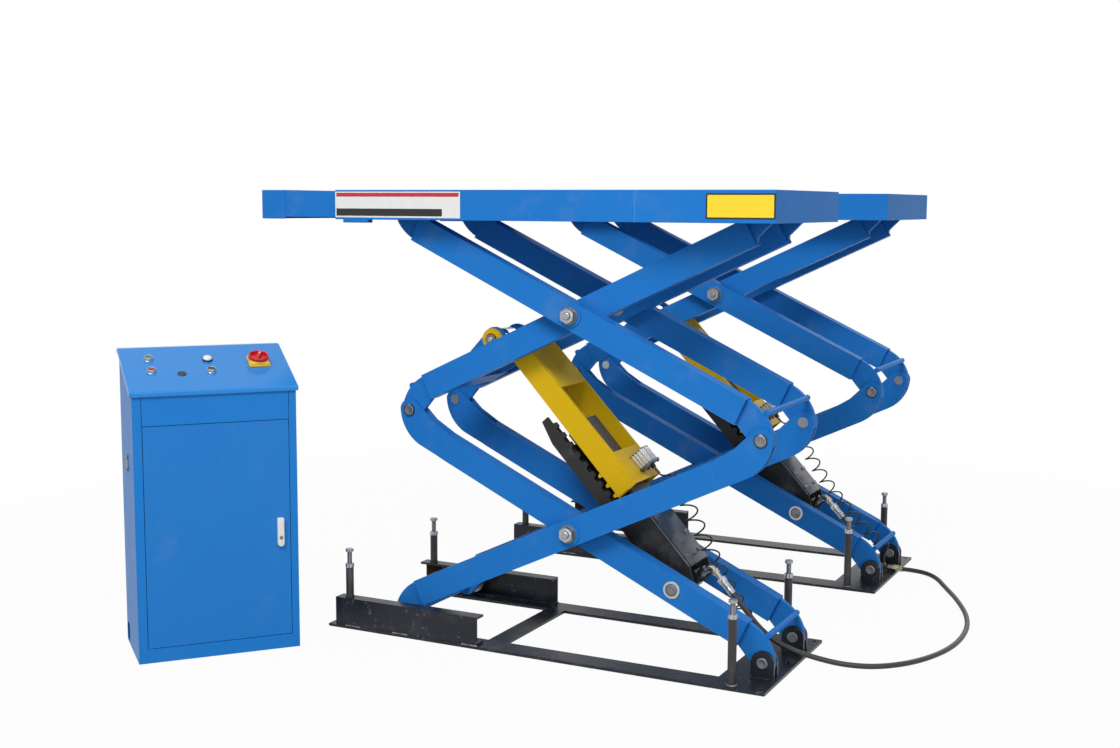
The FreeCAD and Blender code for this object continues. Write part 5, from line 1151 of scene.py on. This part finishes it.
def switch_pieces():
    """The yellow housing with its slots, and the red ring with its grip and white mark."""
    place = on_slope(*SWITCH_SPOT)
    base = [block((-35.5, 35.5), (-35.5, 35.5), (0.3, 7.0), 2.0),
            block((-34.0, 34.0), (-34.0, 34.0), (5.0, 14.5), 5.0),
            turned([(0, 5.0), (34.5, 5.0), (34.5, 15.6), (33.5, 16.6), (0, 16.6)], 64)]
    housing = make("switch_housing", [(part, place) for part in base], YELLOW_PLASTIC, "floor")
    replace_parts(housing, "switch_base")
    slots = [(block((31.0, 35.2), (-3.4, 3.4), (7.6, 13.8), 0.6),
              place @ Matrix.Rotation(math.radians(angle), 4, "Z")) for angle in (-128, -52, 52, 128)]
    make("switch_slots", slots, BLACK_PLASTIC, "floor")
    knob = turned([(0, 17.2), (33.0, 17.2), (34.5, 18.8), (34.5, 27.0), (32.8, 29.4), (30.0, 29.8),
                   (28.2, 28.4), (27.2, 20.0), (0, 20.0)], 64)
    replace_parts(make("switch_ring", [(knob, place)], RED, "switch_knob"), "switch_knob")
    across = place @ Matrix.Rotation(GRIP_TURN, 4, "Z")
    grip = block((-27.8, 27.8), (-6.0, 6.0), (19.0, 30.4), 2.6)
    make("switch_grip", [(grip, across)], RED, "switch_knob")
    mark = block((10.0, 22.0), (-1.6, 1.6), (29.6, 30.9), 0.5)
    make("switch_mark", [(mark, across)], WHITE, "switch_knob")


switch_pieces()
frame["nodes"]["red_button"].material_slots[0].material = DARK_RED
frame["nodes"]["cabinet_console"].material_slots[0].material = CONSOLE_BLUE
frame["nodes"]["cabinet_door"].material_slots[0].material = DOOR_BLUE
print("buttons, lamp, buzzer and switch stand on a slope of", round(math.degrees(SLOPE), 1), "degrees")

# %% [markdown]
# ## Cabinet sheet metal
# The body is folded from sheet. The panel above the door is let in between the two side posts, so a fine
# dark seam runs up each side of it. On the left wall a flat push latch has a grey frame, and a black block in
# its hole is painted shade.
# The door handle is a white swing lever with a lock.

# %% Seams, side latch and handle
LOCK_GREY = plastic("lock_grey", rgb(0.20, 0.19, 0.19), 0.40, 0.3)
LATCH_GREY = plastic("latch_grey", rgb(0.36, 0.35, 0.33), 0.40, 0.3)
SEAM_BLUE = paint("seam_blue", rgb(0.002, 0.020, 0.085), rgb(0.002, 0.016, 0.070), 0.5, 0.2)
seams = [block((x - 0.8, x + 0.8), (-0.35, 0.2), (787, 881)) for x in (29.0, 507.0)]
seams += [block((29, 507), (-0.35, 0.2), (784.6, 786.2))]
make("cabinet_seams", [(part, IN_CABINET) for part in seams], SEAM_BLUE, "floor")
latch_frame = [block((-5.4, -0.2), (138.6, 170.4), z, 1.2) for z in ((619.0, 632.0), (658.0, 671.0))]
latch_frame += [block((-5.4, -0.2), y, (619.0, 671.0), 1.2) for y in ((138.6, 146.0), (163.0, 170.4))]
make("side_latch_frame", [(part, IN_CABINET) for part in latch_frame], LATCH_GREY, "floor")
# a black block just behind the frame stands for the shade inside the latch's hole: painted shade
hole = block((-4.5, -0.4), (145.0, 164.0), (631.0, 659.0))
make("side_latch_hole_shade", [(hole, IN_CABINET)], BLACK_PLASTIC, "floor")


def arc(x, y, radius, first, last, steps=8):
    """Points round a corner of an outline."""
    turns = [math.radians(first + (last - first) * i / steps) for i in range(steps + 1)]
    return [(x + radius * math.cos(turn), y + radius * math.sin(turn)) for turn in turns]


def raised(outline, low, high, edge):
    """A flat piece with this outline, its upper rim rounded."""
    shape = bmesh.new()
    face = shape.faces.new([shape.verts.new((x, y, low)) for x, y in outline])
    risen = bmesh.ops.extrude_face_region(shape, geom=[face])
    top = [item for item in risen["geom"] if isinstance(item, bmesh.types.BMVert)]
    bmesh.ops.translate(shape, verts=top, vec=(0, 0, high - low))
    bmesh.ops.recalc_face_normals(shape, faces=list(shape.faces))
    rim = [line for line in shape.edges if all(vertex.co.z > high - 0.01 for vertex in line.verts)]
    bmesh.ops.bevel(shape, geom=rim, offset=edge, affect="EDGES", segments=3, profile=0.5, material=-1)
    return shape


HANDLE_OUT, HANDLE_TALL, HANDLE_HALF, HANDLE_CORNER, LOCK_DROP = 18.3, 98.0, 11.2, 5.0, 18.0


def handle_pieces():
    """The lever in white, with a joint line across it and the lock's round face below."""
    node = frame["nodes"]["cabinet_door_handle"]
    places = [CABINET_PLACE.inverted() @ vertex.co for vertex in node.data.vertices]
    low = [min(place[axis] for place in places) * 1000 for axis in range(3)]
    high = [max(place[axis] for place in places) * 1000 for axis in range(3)]
    middle = Vector(((low[0] + high[0]) / 2, low[1] + HANDLE_OUT, (low[2] + high[2]) / 2)) / 1000
    turn = CABINET_PLACE.to_3x3()
    place = frame_at(CABINET_PLACE @ middle, turn @ Vector((1, 0, 0)), turn @ Vector((0, -1, 0)))
    half, up, corner = HANDLE_HALF, HANDLE_TALL / 2, HANDLE_CORNER
    outline = arc(0, half - up, half, 180, 360) + arc(half - corner, up - corner, corner, 0, 90)
    outline += arc(corner - half, up - corner, corner, 90, 180)
    lever = make("handle_lever", [(raised(outline, 0.4, 15.0, 2.6), place)], WHITE, "door_handle")
    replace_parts(lever, "cabinet_door_handle")
    joint = block((-9, 9), (25.4, 26.2), (14.4, 15.15))
    lock = turned([(0, 14.0), (6.4, 14.0), (6.4, 15.4), (5.6, 15.8), (0, 15.8)], 32)
    marks = [(joint, place), (lock, place @ Matrix.Translation((0, -LOCK_DROP, 0)))]
    make("handle_lock", marks, LOCK_GREY, "door_handle")
    print("handle", round(high[0] - low[0], 1), "by", round(high[2] - low[2], 1), "mm in CAD")


handle_pieces()

# %% [markdown]
# ## Skirt seam and floor bolt
# The front deck's skirt is joined from two lengths, and the ground weld shows as a pale hairline. A bolt
# head stands on the front base plate near its right end, and the open end of the far rail is brown with
# rust inside.

# %% Seam, bolt and rust
STEEL_BLUE = paint("ground_seam", rgb(0.06, 0.28, 0.66), rgb(0.12, 0.34, 0.70), 0.3, 0.4)
RUST = paint("rust", rgb(0.075, 0.028, 0.012), rgb(0.035, 0.014, 0.008), 0.8, 1.5, 5.0, 0.0)
seam_line = block((371.6, 373.0), (-997.35, -996.0), (1450.0, 1548.0))
make("skirt_seam", [(seam_line, Matrix.Scale(0.001, 4))], STEEL_BLUE, "front_deck")
floor_bolt = Matrix.Translation((0.797, -0.654, 0.010)) @ Matrix.Scale(0.001, 4)
bolt = [(ring(0.0, 13.0, 0.0, 2.0, 0.4, 24), floor_bolt), (nut(17.0, 1.9, 9.5), floor_bolt)]
make("plate_bolt", bolt, DARK_STEEL_AND_SHADE, "floor")
for unit in UNITS:
    patch = block((-1549.5, -1478), (300.2, 301.2), (19, 101))
    make(unit + "_rail_rust", [(patch, upright(unit, 0, 0))], RUST, "floor")
print("seam at 0.372 m, bolt at 0.797 m")

# %% [markdown]
# ## Plate and warning strip
# Two thin signs are stuck to the near side of the front deck. Both are blank here: a yellow plate with a
# black border, and a white strip with a red band along its top and a black one along its foot. Each is a
# sheet of card thickness on the skirt, and the bands are narrower sheets on top of it.

# %% Stick the signs on
SIGN_FACE = -0.9970


def sheet_on_side(name, left, right, low, high, proud, material, corner=0.0):
    """A thin flat sheet on the near side of the front deck, its corners rounded by so many metres."""
    shape = bmesh.new()
    corners = [(left, low), (right, low), (right, high), (left, high)]
    face = shape.faces.new([shape.verts.new((x, SIGN_FACE, z)) for x, z in corners])
    if corner:
        bmesh.ops.bevel(shape, geom=list(shape.verts), offset=corner, affect="VERTICES", segments=4,
                        profile=0.5, material=-1)
    made = bmesh.ops.extrude_face_region(shape, geom=list(shape.faces))
    moved = [part for part in made["geom"] if isinstance(part, bmesh.types.BMVert)]
    bmesh.ops.translate(shape, verts=moved, vec=(0, -proud, 0))
    bmesh.ops.recalc_face_normals(shape, faces=list(shape.faces))
    mesh = bpy.data.meshes.new(name)
    shape.to_mesh(mesh)
    shape.free()
    mesh.materials.append(material)
    thing = bpy.data.objects.new(name, mesh)
    bpy.context.scene.collection.objects.link(thing)
    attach(thing, "front_deck")


PLATE_BLACK = plastic("plate_black", rgb(0.008, 0.008, 0.009), 0.50, 0.1)
PLATE_YELLOW = plastic("plate_yellow", rgb(0.92, 0.66, 0.02), 0.38, 0.1)
STRIP_WHITE = plastic("strip_white", rgb(0.78, 0.78, 0.77), 0.36, 0.1)
STRIP_RED = plastic("strip_red", rgb(0.52, 0.020, 0.028), 0.36, 0.1)
sheet_on_side("load_plate_border", 0.6057, 0.8255, 1.4610, 1.5385, 0.0006, PLATE_BLACK, 0.004)
sheet_on_side("load_plate", 0.6110, 0.8202, 1.4663, 1.5332, 0.0009, PLATE_YELLOW, 0.002)
sheet_on_side("warning_strip", -0.7475, -0.2520, 1.4560, 1.5430, 0.0005, STRIP_WHITE, 0.002)
sheet_on_side("warning_strip_top", -0.7425, -0.2570, 1.5262, 1.5390, 0.0008, STRIP_RED)
sheet_on_side("warning_strip_foot", -0.7425, -0.3210, 1.4615, 1.4860, 0.0008, PLATE_BLACK)
print("signs stand off the skirt by less than a millimetre")
